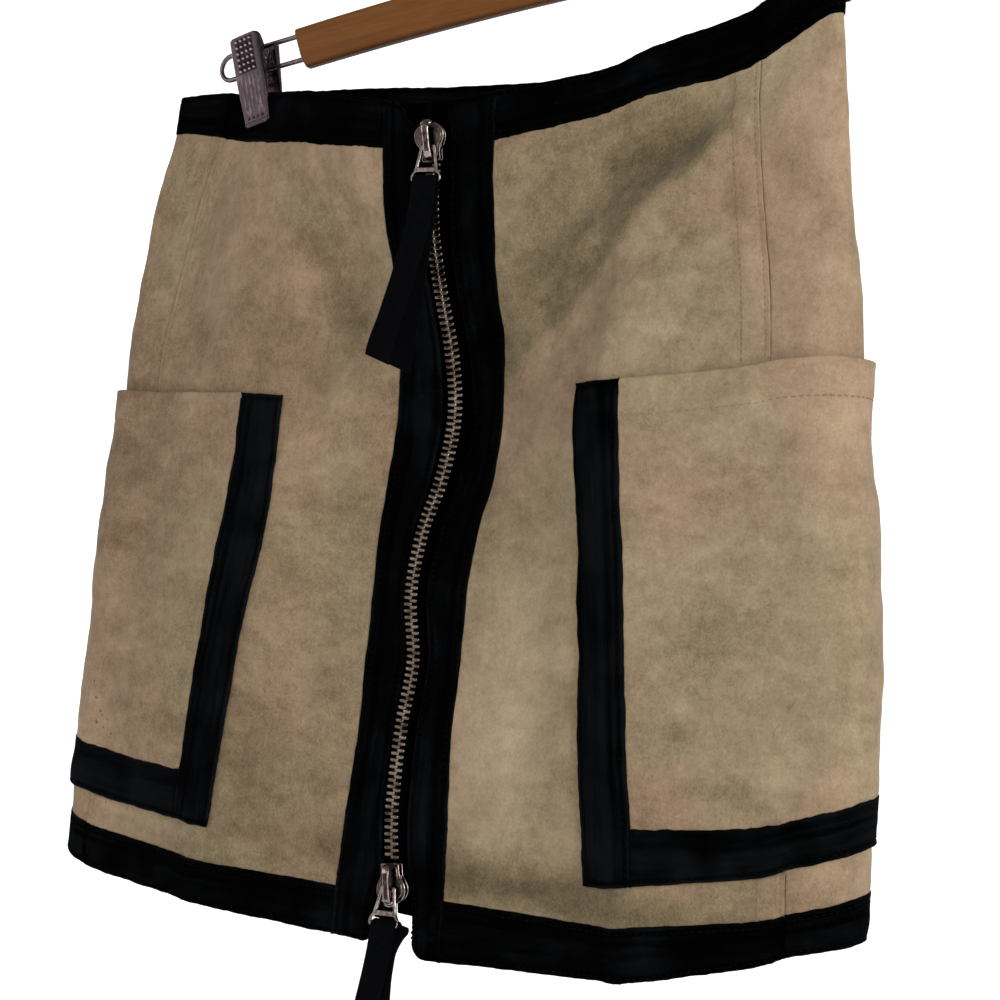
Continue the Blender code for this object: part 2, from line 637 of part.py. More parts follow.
def tab(name, pivot, swing, roll):
    outline = [(-3.8, 1.1), (3.8, 1.1), (4.6, -3.0), (6.1, -11.0), (7.8, -13.8), (7.8, -16.4),
               (6.8, -17.2), (-6.8, -17.2), (-7.8, -16.4), (-7.8, -13.8), (-6.1, -11.0), (-4.6, -3.0)]
    upper = [(-2.6, -1.1), (-4.6, -10.2), (4.6, -10.2), (2.6, -1.1)]
    lower = [(-5.4, -12.4), (-6.75, -13.6), (-6.75, -15.4), (6.75, -15.4), (6.75, -13.6), (5.4, -12.4)]
    o = extruded(name, outline, [upper, lower], TAB_T, SLIDER_M)
    o.matrix_world = pivot @ Matrix.Rotation(swing, 4, "X") @ Matrix.Rotation(roll, 4, "Z")
    return o


PIVOT_H = PLATE_T + BAIL_CLEAR / 2
top_pivot = TOP_M @ Matrix.Translation((0, -3.4 * MM, PIVOT_H * MM))
bottom_pivot = BOTTOM_M @ Matrix.Translation((0, 1.6 * MM, PIVOT_H * MM)) @ Matrix.Rotation(math.pi, 4, "Z")
TOP_SWING = math.radians(-8)
BOTTOM_SWING = math.radians(-11)
tab_top = tab("pull_tab_top", top_pivot, TOP_SWING, math.radians(-8))
tab_bottom = tab("pull_tab_bottom", bottom_pivot, BOTTOM_SWING, math.radians(-7))

# Ribbon pull: one tape, doubled round the tab's foot bar.  Each row is the
# distance below the bar and how far the front and back layers have swung
# out, mm.
RIBBON_W = 13.0
RIBBON_T = 1.0
RIBBON_EYE = 1.55         # inside radius round the bar, mm
RIBBON_COLUMNS = ("down", "front", "back")
RIBBON_TOP = ((0, 2.25, -2.25), (5, 1.9, -1.9), (12, 1.0, -1.0), (20, 1.1, -1.1),
              (40, 4.5, -1.3), (70, 12.0, -1.0), (92, 18.0, -0.6))
RIBBON_BOTTOM = ((0, 2.25, -2.25), (1.5, 2.2, -5.5), (5, 1.9, -7.0), (12, 1.0, -3.5), (20, 1.1, -1.1),
                 (40, 3.0, -2.0), (70, 7.0, -3.5), (92, 11.0, -5.0))


def ribbon(name, rows, tab_obj, hang):
    """A doubled strip: its section is drawn in the plane of its thickness."""
    bar = tab_obj.matrix_world @ Vector((0, -16.3 * MM, 0))
    rows = np.array(rows, float)
    down = np.concatenate([[0, 3, 6, 9, 12], np.linspace(20, rows[-1, 0], 8)])
    front = hermite(rows[:, 0], rows[:, 1], down)
    back = hermite(rows[:, 0], rows[:, 2], down)
    h = RIBBON_T / 2
    ro = RIBBON_EYE + RIBBON_T
    outer = [(ro * math.sin(a), ro * math.cos(a)) for a in
             [math.radians(k) for k in (-90, -60, -30, 0, 30, 60, 90)]]
    f_out = [(f + h, -d) for f, d in zip(front, down)][1:]
    f_in = [(f - h, -d) for f, d in zip(front, down)][1:]
    b_out = [(b - h, -d) for b, d in zip(back, down)][1:]
    b_in = [(b + h, -d) for b, d in zip(back, down)][1:]
    inner = [(RIBBON_EYE * math.cos(a), RIBBON_EYE * math.sin(a)) for a in
             [math.radians(k) for k in (0, 45, 90, 135, 180)]]
    loop = outer + f_out + f_in[::-1] + inner + b_in + b_out[::-1]
    o = extruded(name, loop, [], RIBBON_W, RIBBON_M)
    # its section's X is outward and its Y is up, and its width is across
    side = (tab_obj.matrix_world.to_3x3() @ Vector((1, 0, 0))).normalized()
    up = Vector(hang).normalized() * -1
    up = (up - side * up.dot(side)).normalized()
    out = side.cross(up) * -1
    if out.y > 0:
        out = -out
    zaxis = out.cross(up)
    m = Matrix.Identity(4)
    for i in range(3):
        m[i][0], m[i][1], m[i][2], m[i][3] = out[i], up[i], zaxis[i], bar[i]
    o.matrix_world = m
    return o


ribbon_top = ribbon("ribbon_top", RIBBON_TOP, tab_top, (-0.125, -0.15, -1))
ribbon_bottom = ribbon("ribbon_bottom", RIBBON_BOTTOM, tab_bottom, (-0.12, -0.03, -1))

# ------------------------------------------------------------- the hanger --
TILT = Matrix.Translation(place(BAR_MID)) @ Matrix.Rotation(math.radians(-BAR_TILT), 4, "Y")
# upright parts drawn in XY are stood up so that their Y becomes Z
STAND = Matrix.Rotation(math.radians(90), 4, "X")


def arch(x):
    return BAR_ARCH * (1 - (2 * x / BAR_LEN) ** 2) - BAR_ARCH


def bar_outline():
    n = 14
    xs = spread(-BAR_LEN / 2, BAR_LEN / 2, n)
    k = BAR_SLANT / (BAR_LEN / 2)
    top = [(x * (1 + k), arch(x) + BAR_H / 2) for x in xs]
    low = [(x * (1 - k), arch(x) - BAR_H / 2) for x in reversed(xs)]
    return low[::-1] + top[::-1]


bar = extruded("hanger_bar", bar_outline(), [], BAR_T, WOOD_M)
bar.matrix_world = TILT @ STAND
bev = bar.modifiers.new("eased_edges", "BEVEL")
bev.width = 1.2 * MM
bev.segments = 1
bev.limit_method = "ANGLE"
bev.angle_limit = math.radians(50)


def wire(name, points, radius, mat, matrix=None, cyclic=False, res=2):
    cu = bpy.data.curves.new(name, "CURVE")
    cu.dimensions = "3D"
    cu.bevel_depth = radius * MM
    cu.bevel_resolution = res
    cu.use_fill_caps = True
    sp = cu.splines.new("POLY")
    sp.points.add(len(points) - 1)
    for p, co in zip(sp.points, points):
        p.co = (co[0] * MM, co[1] * MM, co[2] * MM, 1)
    o = bpy.data.objects.new(name, cu)
    o.data.materials.append(mat)
    parts.objects.link(o)
    if matrix is not None:
        o.matrix_world = matrix
    return o


def hook_points():
    """Shank up from the bar, then most of a circle, ending at a short tip."""
    z0 = BAR_H / 2 + 0.3
    zc = BAR_H / 2 + HOOK_NECK
    pts = [(0, 0, z0), (0, 0, z0 + 6), (0, 0, z0 + 12)]
    # the shank leans to the side of the bend and joins it at its lower end
    a0 = -62.0
    start = (HOOK_BEND * math.cos(math.radians(a0)), zc + HOOK_BEND * math.sin(math.radians(a0)))
    for k in range(1, 4):
        t = k / 4
        e = t * t * (3 - 2 * t)
        pts.append((start[0] * e * 0.9, 0, z0 + 12 + (start[1] - z0 - 12) * t))
    n = 20
    a1 = 205.0
    for k in range(n + 1):
        a = math.radians(a0 + (a1 - a0) * k / n)
        pts.append((HOOK_BEND * math.cos(a), 0, zc + HOOK_BEND * math.sin(a)))
    return pts


wire("hanger_hook", hook_points(), HOOK_R, WIRE_M, TILT)


def loop_points(side, reach, slope):
    """A wire loop out of the bar's end: along, round and back, mm."""
    x0 = BAR_LEN / 2
    h = WIRE_SPACE / 2
    z0 = arch(BAR_LEN / 2) + WIRE_RISE
    ends = [x0 + BAR_SLANT * (WIRE_RISE + k * h) / (BAR_H / 2) + 1.0 for k in (1, -1)]
    far = x0 + reach - h
    pts = [(ends[0] + (far - ends[0]) * t, h) for t in (0, 0.34, 0.67, 1.0)]
    pts += [(far + h * math.sin(a), h * math.cos(a)) for a in
            [math.radians(k) for k in (22, 45, 68, 90, 112, 135, 158)]]
    pts += [(ends[1] + (far - ends[1]) * t, -h) for t in (1.0, 0.67, 0.34, 0)]
    return [(side * x, 0.0, z0 + z + slope * (x - x0)) for x, z in pts]


LEFT_REACH, RIGHT_REACH = 56.0, 66.0
wire("clip_wire_left", loop_points(-1, LEFT_REACH, -0.03), WIRE_R, WIRE_M, TILT)
wire("clip_wire_right", loop_points(1, RIGHT_REACH, 0.02), WIRE_R, WIRE_M, TILT)


def jaw(name, face, m, grip):
    """One jaw of a clip: a plate with two short lugs, leaning off the grip.

    In its own frame X is across, Z up the plate and the wires are at Z = 0."""
    up, low = CLIP_UP, CLIP_LEN - CLIP_UP
    plate = [(-CLIP_W / 2, -low + 1), (-CLIP_W / 2 + 1, -low), (CLIP_W / 2 - 1, -low),
             (CLIP_W / 2, -low + 1), (CLIP_W / 2, up - 1), (CLIP_W / 2 - 1, up),
             (-CLIP_W / 2 + 1, up), (-CLIP_W / 2, up - 1)]
    o = extruded(name, plate, [], 1.6, CLIP_M)
    o.data.transform(STAND)
    lugs = [box(name + "_lug%d" % k, (1.6, 5.0, 9.0), (k * (CLIP_W / 2 - 1.4), 2.4, 0)) for k in (-1, 1)]
    joined(o, lugs)
    lean = math.radians(CLIP_LEAN)
    turn = Matrix.Rotation(math.pi, 4, "Z") if face > 0 else Matrix.Identity(4)
    # stand the plate off the wires, then lean its top outward
    half = grip + 0.8 + 0.35
    off = half + low * math.tan(lean)
    o.matrix_world = (m @ turn @ Matrix.Translation((0, -off * MM, 0))
                      @ Matrix.Rotation(lean, 4, "X"))
    return o


def grip_of(face, x, low):
    """How far out the waistband's face is where a jaw closes on it, mm."""
    ss = np.linspace(-6, 6, 121) if face < 0 else np.linspace(6, 18, 121)
    S, V = np.meshgrid(ss, np.linspace(0, 1.2, 13), indexing="ij")
    p = skirt(S.ravel(), V.ravel())
    under = (np.abs(p[:, 0] - x) < CLIP_W / 2 + 3) & (p[:, 2] > low - 3)
    return float(np.abs(p[under, 1]).max()) + 0.5 + 0.35


def clip(tag, x, z, spin):
    m = Matrix.Translation(place((x, 0, z))) @ Matrix.Rotation(math.radians(-spin), 4, "Y")
    low = z - (CLIP_LEN - CLIP_UP)
    foot = x + (CLIP_LEN - CLIP_UP) * math.sin(math.radians(spin))
    jaw("clip_front_" + tag, -1, m, grip_of(-1, foot, low))
    jaw("clip_back_" + tag, 1, m, grip_of(1, foot, low))
    bm = bmesh.new()
    bmesh.ops.create_cone(bm, cap_ends=True, segments=14, radius1=3.4 * MM, radius2=3.4 * MM, depth=11.5 * MM)
    bmesh.ops.rotate(bm, cent=(0, 0, 0), matrix=Matrix.Rotation(math.pi / 2, 3, "Y"), verts=bm.verts[:])
    me = bpy.data.meshes.new("clip_spring_" + tag)
    bm.to_mesh(me)
    bm.free()
    s = bpy.data.objects.new("clip_spring_" + tag, me)
    finish_object(s, WIRE_M)
    s.matrix_world = m


clip("left", -150.96, -0.11, 13.6)
clip("right", 168.5, 34.0, 6.0)
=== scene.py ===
"""Looks of the suede mini skirt on its clip hanger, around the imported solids.

Lengths in the tables are millimetres in the skirt's own frame, as in the
part's source; place() turns them into metres in the shared frame.  The cloth
is one tube with two pattern coordinates: s goes across (0 is the zip, 5 and -5
the side seams, 6 and -6 the side folds, 12 the centre back) and v goes down
(0 waist edge, 1 band seam, 2 pocket mouth, 3 and 4 pocket's bottom trim,
5 hem band seam, 6 hem edge).
"""
import math

import bpy
import bmesh
import numpy as np
from mathutils import Matrix, Vector


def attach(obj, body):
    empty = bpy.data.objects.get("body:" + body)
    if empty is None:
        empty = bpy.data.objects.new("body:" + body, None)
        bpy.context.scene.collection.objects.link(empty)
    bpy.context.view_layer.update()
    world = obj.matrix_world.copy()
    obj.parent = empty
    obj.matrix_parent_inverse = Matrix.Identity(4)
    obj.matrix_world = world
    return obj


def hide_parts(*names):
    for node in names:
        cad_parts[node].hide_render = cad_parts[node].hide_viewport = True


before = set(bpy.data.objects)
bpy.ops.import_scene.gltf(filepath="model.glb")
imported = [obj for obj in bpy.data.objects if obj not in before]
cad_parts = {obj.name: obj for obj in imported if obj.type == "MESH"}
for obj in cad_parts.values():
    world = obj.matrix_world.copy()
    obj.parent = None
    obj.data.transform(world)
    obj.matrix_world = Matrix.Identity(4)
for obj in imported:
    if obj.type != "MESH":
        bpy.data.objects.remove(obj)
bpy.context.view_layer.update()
MM = 0.001

# --------------------------------------------------------------- camera ----
AZIMUTH, ELEVATION, ROLL = math.radians(30), math.radians(-2), math.radians(3.8)


def make_camera():
    data = bpy.data.cameras.new("camera")
    data.sensor_fit = "HORIZONTAL"
    data.sensor_width = 36
    data.lens = 55.44
    data.clip_start = 0.02
    back = Vector((math.sin(AZIMUTH) * math.cos(ELEVATION), -math.cos(AZIMUTH) * math.cos(ELEVATION),
                   math.sin(ELEVATION)))
    right = Vector((math.cos(AZIMUTH), math.sin(AZIMUTH), 0))
    up = back.cross(right)
    r = right * math.cos(ROLL) + up * math.sin(ROLL)
    u = -right * math.sin(ROLL) + up * math.cos(ROLL)
    m = Matrix.Identity(4)
    for i in range(3):
        m[i][0], m[i][1], m[i][2] = r[i], u[i], back[i]
        m[i][3] = (0.40014821, -0.64912338, -0.34145159)[i]
    cam = bpy.data.objects.new("camera", data)
    bpy.context.scene.collection.objects.link(cam)
    cam.matrix_world = m
    bpy.context.scene.camera = cam


make_camera()

# ---------------------------------------------------- sizes, as in the part ----
SUEDE = 1.5
BAND = 2.2
TRIM = 2.0
SEAM_IN = (38.0, 27.0)
TRIM_W = 25.0
CHAIN_HALF = 4.0
SLOT_HALF = 7.0
POCKET_BACK = 8.6
BAR_LEN, BAR_H, BAR_T = 245.0, 19.0, 10.0
BAR_TILT = 5.8
BAR_SLANT = 2.6
BAR_ARCH = 3.0
WIRE_R = 1.35
WIRE_SPACE = 13.6
HOOK_R, HOOK_BEND, HOOK_NECK = 1.9, 19.0, 36.5
CLIP_W, CLIP_LEN, CLIP_UP, CLIP_LEAN = 18.0, 50.5, 10.5, 4.5
WIRE_RISE = 1.5
BAR_MID = (1.0, 0.0, 17.5)

# -------------------------------------------------------------- the cloth --
# Heights of the pattern's lines, mm, a row for each line down the skirt and
# a column for each place round it.
LEVEL_AT = (-6, -5, -4, -3, -2, 0, 2, 3, 4, 5, 6, 7, 9.5, 12, 14.5, 17)
LEVEL_COLUMNS = ("fold_l", "seam_l", "trim_lo", "trim_li", "edge_l", "zip", "edge_r",
                 "trim_ri", "trim_ro", "seam_r", "fold_r", "turn_r", "back_r", "back",
                 "back_l", "turn_l")
LEVELS = {
    "waist":       (-17, -18, -23, -28, -38, -41, -37, -31, -22, -6, 10, -3, -25, -25, -20, -18),
    "band_seam":   (-37, -42, -50, -55, -62, -65, -61, -52, -44, -32, -12, -23, -48, -48, -45, -41),
    "mouth":       (-184, -186, -187, -188, -187, -186, -184, -182, -181, -172, -168, -171, -181, -183, -183, -184),
    "trim_top":    (-377, -381, -385, -386, -388, -388, -386, -382, -378, -366, -354, -360, -372, -376, -379, -378),
    "trim_bottom": (-401, -405, -409, -410, -411, -411, -409, -405, -401, -385, -374, -381, -395, -399, -401, -401),
    "hem_seam":    (-416, -422, -427, -428, -427, -426, -425, -422, -419, -404, -394, -400, -412, -415, -417, -417),
    "hem":         (-432, -444, -449, -450, -450, -451.5, -453, -446, -442.5, -421.5, -414.5, -421, -434, -437, -439, -439),
}

# Across the front, mm, a row for each height.
WIDTH_COLUMNS = ("z", "fold_l", "trim_l", "edge_l", "zip", "edge_r", "trim_r", "fold_r")
WIDTHS = (
    (10,   -202, -90, -49, -16, 13, 66, 178),
    (-40,  -205, -90, -48, -16, 13, 67, 181),
    (-75,  -214, -90, -45, -16, 13, 69, 184),
    (-105, -218, -91, -42, -15, 15, 71, 188),
    (-135, -221, -92, -36, -11, 18, 73, 193),
    (-165, -223, -93, -33, -6,  22, 74, 196),
    (-195, -224, -94, -32, -4,  22, 76, 198),
    (-225, -229, -96, -34, -6,  21, 78, 202),
    (-255, -231, -100, -37, -12, 18, 81, 206),
    (-285, -232, -106, -38, -13, 16, 83, 208),
    (-315, -233, -110, -38, -10, 16, 86, 210),
    (-345, -235, -113, -38, -12, 15, 88, 211),
    (-385, -237, -117, -38, -11, 17, 92, 211),
    (-450, -238, -121, -39, -3.2, 21, 97, 211),
)

# The placket bands open into a notch over the top slider and a wider one
# under the bottom slider: the heights where each starts and is full, and how
# much further from the zip each band's edge then lies, mm.
NOTCH_COLUMNS = ("shut", "open", "left", "right")
NOTCHES = ((-60, -43, 5.2, 3.8), (-413, -436, 7.3, 1.8))
# Above the first height the open top of the zip leans over: the second
# height is where it has its whole offset, mm, then the offset.
LEANING = (-60, -44, -7.0)

# How far the front stands out from the side folds, mm.
DEPTH_COLUMNS = ("z", "seam_l", "trim_lo", "trim_li", "edge_l", "zip", "edge_r",
                 "trim_ri", "trim_ro", "seam_r")
DEPTHS = (
    (10,   5, 10, 14, 21, 23, 17, 12, 10, 6),
    (-40,  6, 12, 16, 23, 23, 17, 13, 11, 7),
    (-75,  8, 17, 20, 24, 24, 17, 14, 14, 9),
    (-105, 11, 21, 22, 22, 22, 15, 17, 21, 12),
    (-135, 14, 25, 24, 18, 17, 13, 21, 29, 17),
    (-165, 17, 28, 27, 16, 11, 9, 27, 37, 21),
    (-195, 19, 30, 30, 15, 8, 7, 33, 41, 24),
    (-225, 20, 30, 29, 16, 12, 11, 32, 40, 24),
    (-255, 21, 30, 28, 17, 18, 17, 31, 38, 24),
    (-285, 21, 30, 28, 18, 22, 20, 31, 37, 24),
    (-315, 22, 30, 30, 20, 21, 21, 32, 37, 24),
    (-345, 22, 30, 32, 22, 24, 23, 33, 36, 24),
    (-385, 23, 30, 33, 27, 29, 26, 32, 34, 24),
    (-450, 24, 30, 33, 32, 32, 29, 30, 31, 24),
)
DEPTH_AT = (-5, -4, -3, -2, 0, 2, 3, 4, 5)

# How far the back stands out behind the side folds, mm.
BACK_COLUMNS = ("z", "turn_r", "back_r", "back", "back_l", "turn_l")
BACKS = (
    (10,   6, 7, 8, 6, 5),
    (-60,  7, 11, 10, 9, 6),
    (-120, 11, 15, 12, 13, 10),
    (-190, 15, 19, 15, 17, 14),
    (-300, 18, 24, 18, 23, 18),
    (-450, 20, 27, 21, 27, 20),
)

# Soft folds: a row for each, from one end to the other, mm in X and Z, with
# its half-width and its rise (a trough is negative) and the side it is on.
FOLD_COLUMNS = ("x0", "z0", "x1", "z1", "half", "rise", "side")
FOLDS = (
    (-118, -62, -52, -140, 15, -4.0, -1),    # trough from the left clip inward
    (-140, -60, -132, -175, 14, 3.0, -1),    # ridge straight under the left clip
    (-165, -60, -175, -160, 12, -2.0, -1),
    (150, -48, 62, -128, 16, 4.5, -1),       # ridge from the right clip inward
    (128, -42, 40, -150, 18, -4.0, -1),      # trough beside it
    (60, -75, 22, -120, 12, 2.5, -1),
    (-70, -230, -62, -400, 18, -3.0, -1),    # long soft trough left of the zip
    (55, -260, 62, -400, 16, -2.5, -1),
    (145, -60, 70, -170, 18, 3.5, 1),        # and like ones on the back
    (-130, -60, -80, -180, 16, 3.0, 1),
    (-40, -190, -60, -420, 24, 4.0, 1),
    (60, -210, 80, -430, 24, 3.5, 1),
)

# Where the clips pinch both layers together: x, z, reach, share of depth lost
PINCHES = ((-143.0, -30.0, 24.0, 0.7), (168.0, 2.0, 22.0, 0.3))


def hermite(xs, ys, x):
    """Smooth curve through a table's points; ys may have a row per point."""
    xs = np.asarray(xs, float)
    ys = np.asarray(ys, float)
    x = np.clip(x, xs[0], xs[-1])
    h = np.diff(xs)
    d = np.diff(ys, axis=-1) / h
    m = np.empty_like(ys)
    m[..., 1:-1] = (d[..., :-1] * h[1:] + d[..., 1:] * h[:-1]) / (h[1:] + h[:-1])
    m[..., 0] = d[..., 0] * 0.0
    m[..., -1] = d[..., -1] * 0.0
    i = np.clip(np.searchsorted(xs, x, side="right") - 1, 0, len(xs) - 2)
    t = (x - xs[i]) / h[i]
    if ys.ndim == 1:
        y0, y1, m0, m1 = ys[i], ys[i + 1], m[i], m[i + 1]
    else:
        r = np.arange(len(x))
        y0, y1, m0, m1 = ys[r, i], ys[r, i + 1], m[r, i], m[r, i + 1]
    return ((2 * t ** 3 - 3 * t ** 2 + 1) * y0 + (t ** 3 - 2 * t ** 2 + t) * h[i] * m0
            + (-2 * t ** 3 + 3 * t ** 2) * y1 + (t ** 3 - t ** 2) * h[i] * m1)


def columns(table, z):
    """Every column of a height table at the heights z, one row per height."""
    rows = np.array(table, float)[::-1]
    return np.stack([hermite(rows[:, 0], rows[:, k], z)
                     for k in range(1, rows.shape[1])], -1)


def height(s, v):
    """z of the pattern point, mm."""
    at = np.array(LEVEL_AT, float)
    lines = np.array(list(LEVELS.values()), float)
    around = np.concatenate([at[-2:] - 24, at, at[:2] + 24])
    zs = []
    for row in lines:
        ring = np.concatenate([row[-2:], row, row[:2]])
        zs.append(hermite(around, ring, s))
    zs = np.stack(zs, -1)
    i = np.clip(np.floor(v).astype(int), 0, len(lines) - 2)
    r = np.arange(len(s))
    return zs[r, i] + (zs[r, i + 1] - zs[r, i]) * (v - i)


def soft_folds(x, z, side):
    """Sum of the soft folds on one side at x, z, mm outward."""
    out = np.zeros_like(x)
    for x0, z0, x1, z1, half, rise, on in FOLDS:
        if on != side:
            continue
        dx, dz = x1 - x0, z1 - z0
        length = math.hypot(dx, dz)
        along = ((x - x0) * dx + (z - z0) * dz) / length
        off = ((x - x0) * dz - (z - z0) * dx) / length
        t = np.clip(along / length, -0.4, 1.4)
        end = np.clip(1 - np.abs(t - 0.5) / 0.9, 0, 1)
        end = end * end * (3 - 2 * end) * 1.3
        width = half * (0.8 + 0.5 * np.clip(t, 0, 1))
        out += rise * np.minimum(end, 1) * np.exp(-(off / width) ** 2)
    return out


def pinched(x, z):
    keep = np.ones_like(x)
    for px, pz, reach, share in PINCHES:
        keep *= 1 - share * np.exp(-((x - px) / reach) ** 2 - ((z - pz) / (reach * 1.3)) ** 2)
    return keep


def notch(z):
    """How much further the left and right placket edges lie at height z."""
    left, right = np.zeros_like(z), np.zeros_like(z)
    for shut, wide, far_l, far_r in NOTCHES:
        t = np.clip((z - shut) / (wide - shut), 0, 1)
        t = t * t * (3 - 2 * t)
        left += far_l * t
        right += far_r * t
    return left, right


def seam_in(z):
    """How far inside its side fold a side seam lies at height z."""
    t = np.clip((-z - 80) / 360, 0, 1)
    return SEAM_IN[0] + (SEAM_IN[1] - SEAM_IN[0]) * t


def round_side(t, r, reach, seam, sign):
    """The way round a side fold: t is 0 at the seam and 1 at the fold.

    Straight first, then a quarter circle whose radius r is the depth."""
    r = np.minimum(r, reach)
    straight = reach - r
    run = t * (straight + math.pi / 2 * r)
    a = np.clip((run - straight) / r, 0, math.pi / 2)
    x = np.minimum(run, straight) + r * np.sin(a)
    return seam + sign * x, r * np.cos(a)


def skirt(s, v):
    """Points of the skirt's outer surface, mm, for arrays s and v."""
    s = np.asarray(s, float)
    v = np.asarray(v, float)
    s = np.where(s < -6, s + 24, np.where(s > 18, s - 24, s))
    z = height(s, v)
    w = columns(WIDTHS, z)
    fold_l, trim_l, edge_l, zipx, edge_r, trim_r, fold_r = w.T
    reach = seam_in(z)
    seam_l, seam_r = fold_l + reach, fold_r - reach
    open_l, open_r = notch(z)
    # the front, from seam to seam
    f = np.clip(s, -5, 5)
    st = np.stack([seam_l, trim_l - TRIM_W, trim_l, edge_l, zipx - SLOT_HALF - open_l, zipx,
                   zipx + SLOT_HALF + open_r, edge_r, trim_r, trim_r + TRIM_W - 0.7, seam_r], -1)
    x_front = hermite(np.arange(-5, 6), st, f)
    t = np.clip((z - LEANING[0]) / (LEANING[1] - LEANING[0]), 0, 1)
    x_front = x_front + LEANING[2] * t * t * (3 - 2 * t) * np.clip(2 - np.abs(f), 0, 1)
    d = hermite(DEPTH_AT, columns(DEPTHS, z), f)
    fade = np.clip((6 - np.abs(f)) / 1.6, 0, 1) * np.clip((np.abs(f) - 0.8) / 1.6, 0, 1)
    d = (d + fade * soft_folds(x_front, z, -1)) * pinched(x_front, z)
    x_side, y_side = round_side(np.clip(np.abs(s) - 5, 0, 1), d, reach,
                                np.where(s > 0, seam_r, seam_l), np.sign(s))
    side = np.abs(s) > 5
    x_front = np.where(side, x_side, x_front)
    y_front = -np.where(side, y_side, d)
    # the back, from the right fold round to the left one
    t = np.clip(s, 7, 17)
    x_back = seam_r + (seam_l - seam_r) * (t - 7) / 10
    d = hermite(np.array([7, 9.5, 12, 14.5, 17]), columns(BACKS, z), t)
    fade = np.clip(np.minimum(t - 6, 18 - t) / 2.0, 0, 1)
    d = (d + fade * soft_folds(x_back, z, 1)) * pinched(x_back, z)
    right = s < 12
    x_side, y_side = round_side(np.clip(np.where(right, 7 - s, s - 17), 0, 1), d, reach,
                                np.where(right, seam_r, seam_l), np.where(right, 1, -1))
    side = (s < 7) | (s > 17)
    x_back = np.where(side, x_side, x_back)
    y_back = np.where(side, y_side, d)
    back = s > 6
    return np.stack([np.where(back, x_back, x_front), np.where(back, y_back, y_front), z], -1)


def outward(s, v):
    """Unit normals of the skirt, pointing out of the tube."""
    e, g = 0.02, 0.02
    s = np.asarray(s, float)
    v = np.asarray(v, float)
    ds = skirt(s + e, v) - skirt(s - e, v)
    dv = skirt(s, np.clip(v + g, 0, 6)) - skirt(s, np.clip(v - g, 0, 6))
    n = np.cross(dv, ds)
    return n / np.linalg.norm(n, axis=-1, keepdims=True)


def hook_top():
    """Where the hook's inside rests on its rail, mm in the skirt's frame."""
    a = math.radians(BAR_TILT)
    up = BAR_H / 2 + HOOK_NECK + HOOK_BEND - HOOK_R
    return np.array([BAR_MID[0] - up * math.sin(a), 0.0, BAR_MID[2] + up * math.cos(a)])


ORIGIN = hook_top()


def place(p):
    """From millimetres in the skirt's frame to metres in the part's frame."""
    return (np.asarray(p, float) - ORIGIN) * MM


# ------------------------------------------------------- finer relief of cloth ----
# Creases placed on top of the broad folds: from one end to the other,
# mm in X and Z, half-width, rise (a trough is negative) and side.
CREASE_COLUMNS = ("x0", "z0", "x1", "z1", "half", "rise", "side")
CREASES = (
    (-96, -58, -70, -88, 5.0, -1.5, -1),      # from the left clip in to the zip
    (-72, -85, -50, -120, 6.0, -1.7, -1),
    (-110, -66, -84, -112, 6.5, 1.0, -1),
    (-128, -58, -120, -118, 6.0, -1.0, -1),
    (-150, -60, -148, -135, 6.5, 0.9, -1),
    (-60, -150, -84, -230, 9.0, -0.8, -1),
    (-52, -300, -58, -392, 8.0, 0.9, -1),
    (-96, -300, -88, -400, 11.0, -0.8, -1),
    (-176, -225, -186, -330, 12.0, -1.0, -1), # the left pocket hangs soft
    (-150, -310, -172, -372, 10.0, 0.8, -1),
    (-196, -290, -198, -380, 8.0, -0.8, -1),
    (138, -54, 96, -98, 7.0, 1.6, -1),        # fan of folds from the right clip
    (128, -50, 70, -104, 6.0, -1.4, -1),
    (108, -72, 44, -132, 8.0, 1.2, -1),
    (88, -100, 30, -158, 8.0, -1.2, -1),
    (140, -66, 112, -128, 8.0, -1.1, -1),
    (124, -96, 84, -168, 10.0, 1.0, -1),
    (160, -30, 152, -64, 4.0, 1.3, -1),       # short ridge by the right clip
    (176, -60, 178, -150, 9.0, -0.9, -1),
    (34, -240, 40, -330, 8.0, -0.9, -1),
    (64, -250, 78, -360, 10.0, 0.9, -1),
    (46, -330, 38, -398, 7.0, 0.8, -1),
    (142, -306, 131, -332, 5.5, -1.6, -1),    # dent in the right pocket
    (150, -212, 140, -290, 13.0, 0.8, -1),
    (198, -300, 200, -352, 5.5, 1.0, -1),
    (186, -250, 190, -350, 8.0, -0.8, -1),
    (120, -330, 156, -356, 8.0, 0.7, -1),
    (160, -396, 120, -412, 7.0, 0.6, -1),
    (150, -40, 120, -100, 8.0, 1.6, 1),       # and like ones on the back
    (130, -50, 70, -130, 9.0, -1.5, 1),
    (96, -70, 30, -150, 10.0, 1.3, 1),
    (-150, -60, -110, -130, 8.0, 1.4, 1),
    (-120, -60, -70, -140, 9.0, -1.5, 1),
    (-90, -70, -30, -160, 10.0, 1.2, 1),
    (-20, -170, -36, -330, 14.0, -1.4, 1),
    (24, -190, 36, -390, 14.0, 1.3, 1),
    (-84, -220, -76, -400, 12.0, 1.2, 1),
    (92, -240, 84, -400, 12.0, -1.2, 1),
    (-4, -300, 6, -420, 10.0, 1.0, 1),
    (150, -230, 156, -360, 12.0, -1.0, 1),
    (-150, -240, -160, -360, 12.0, -1.0, 1),
)

# Uneven swell of the hide, mm: rise, waves for each metre in X and Z, phase
SWELLS = ((0.26, 9.0, 6.5, 0.4), (0.22, -13.0, 11.0, 2.1), (0.15, 23.0, -17.0, 4.0),
          (0.12, 31.0, 27.0, 1.3), (0.08, -47.0, 39.0, 5.2), (0.06, 61.0, 71.0, 0.9))


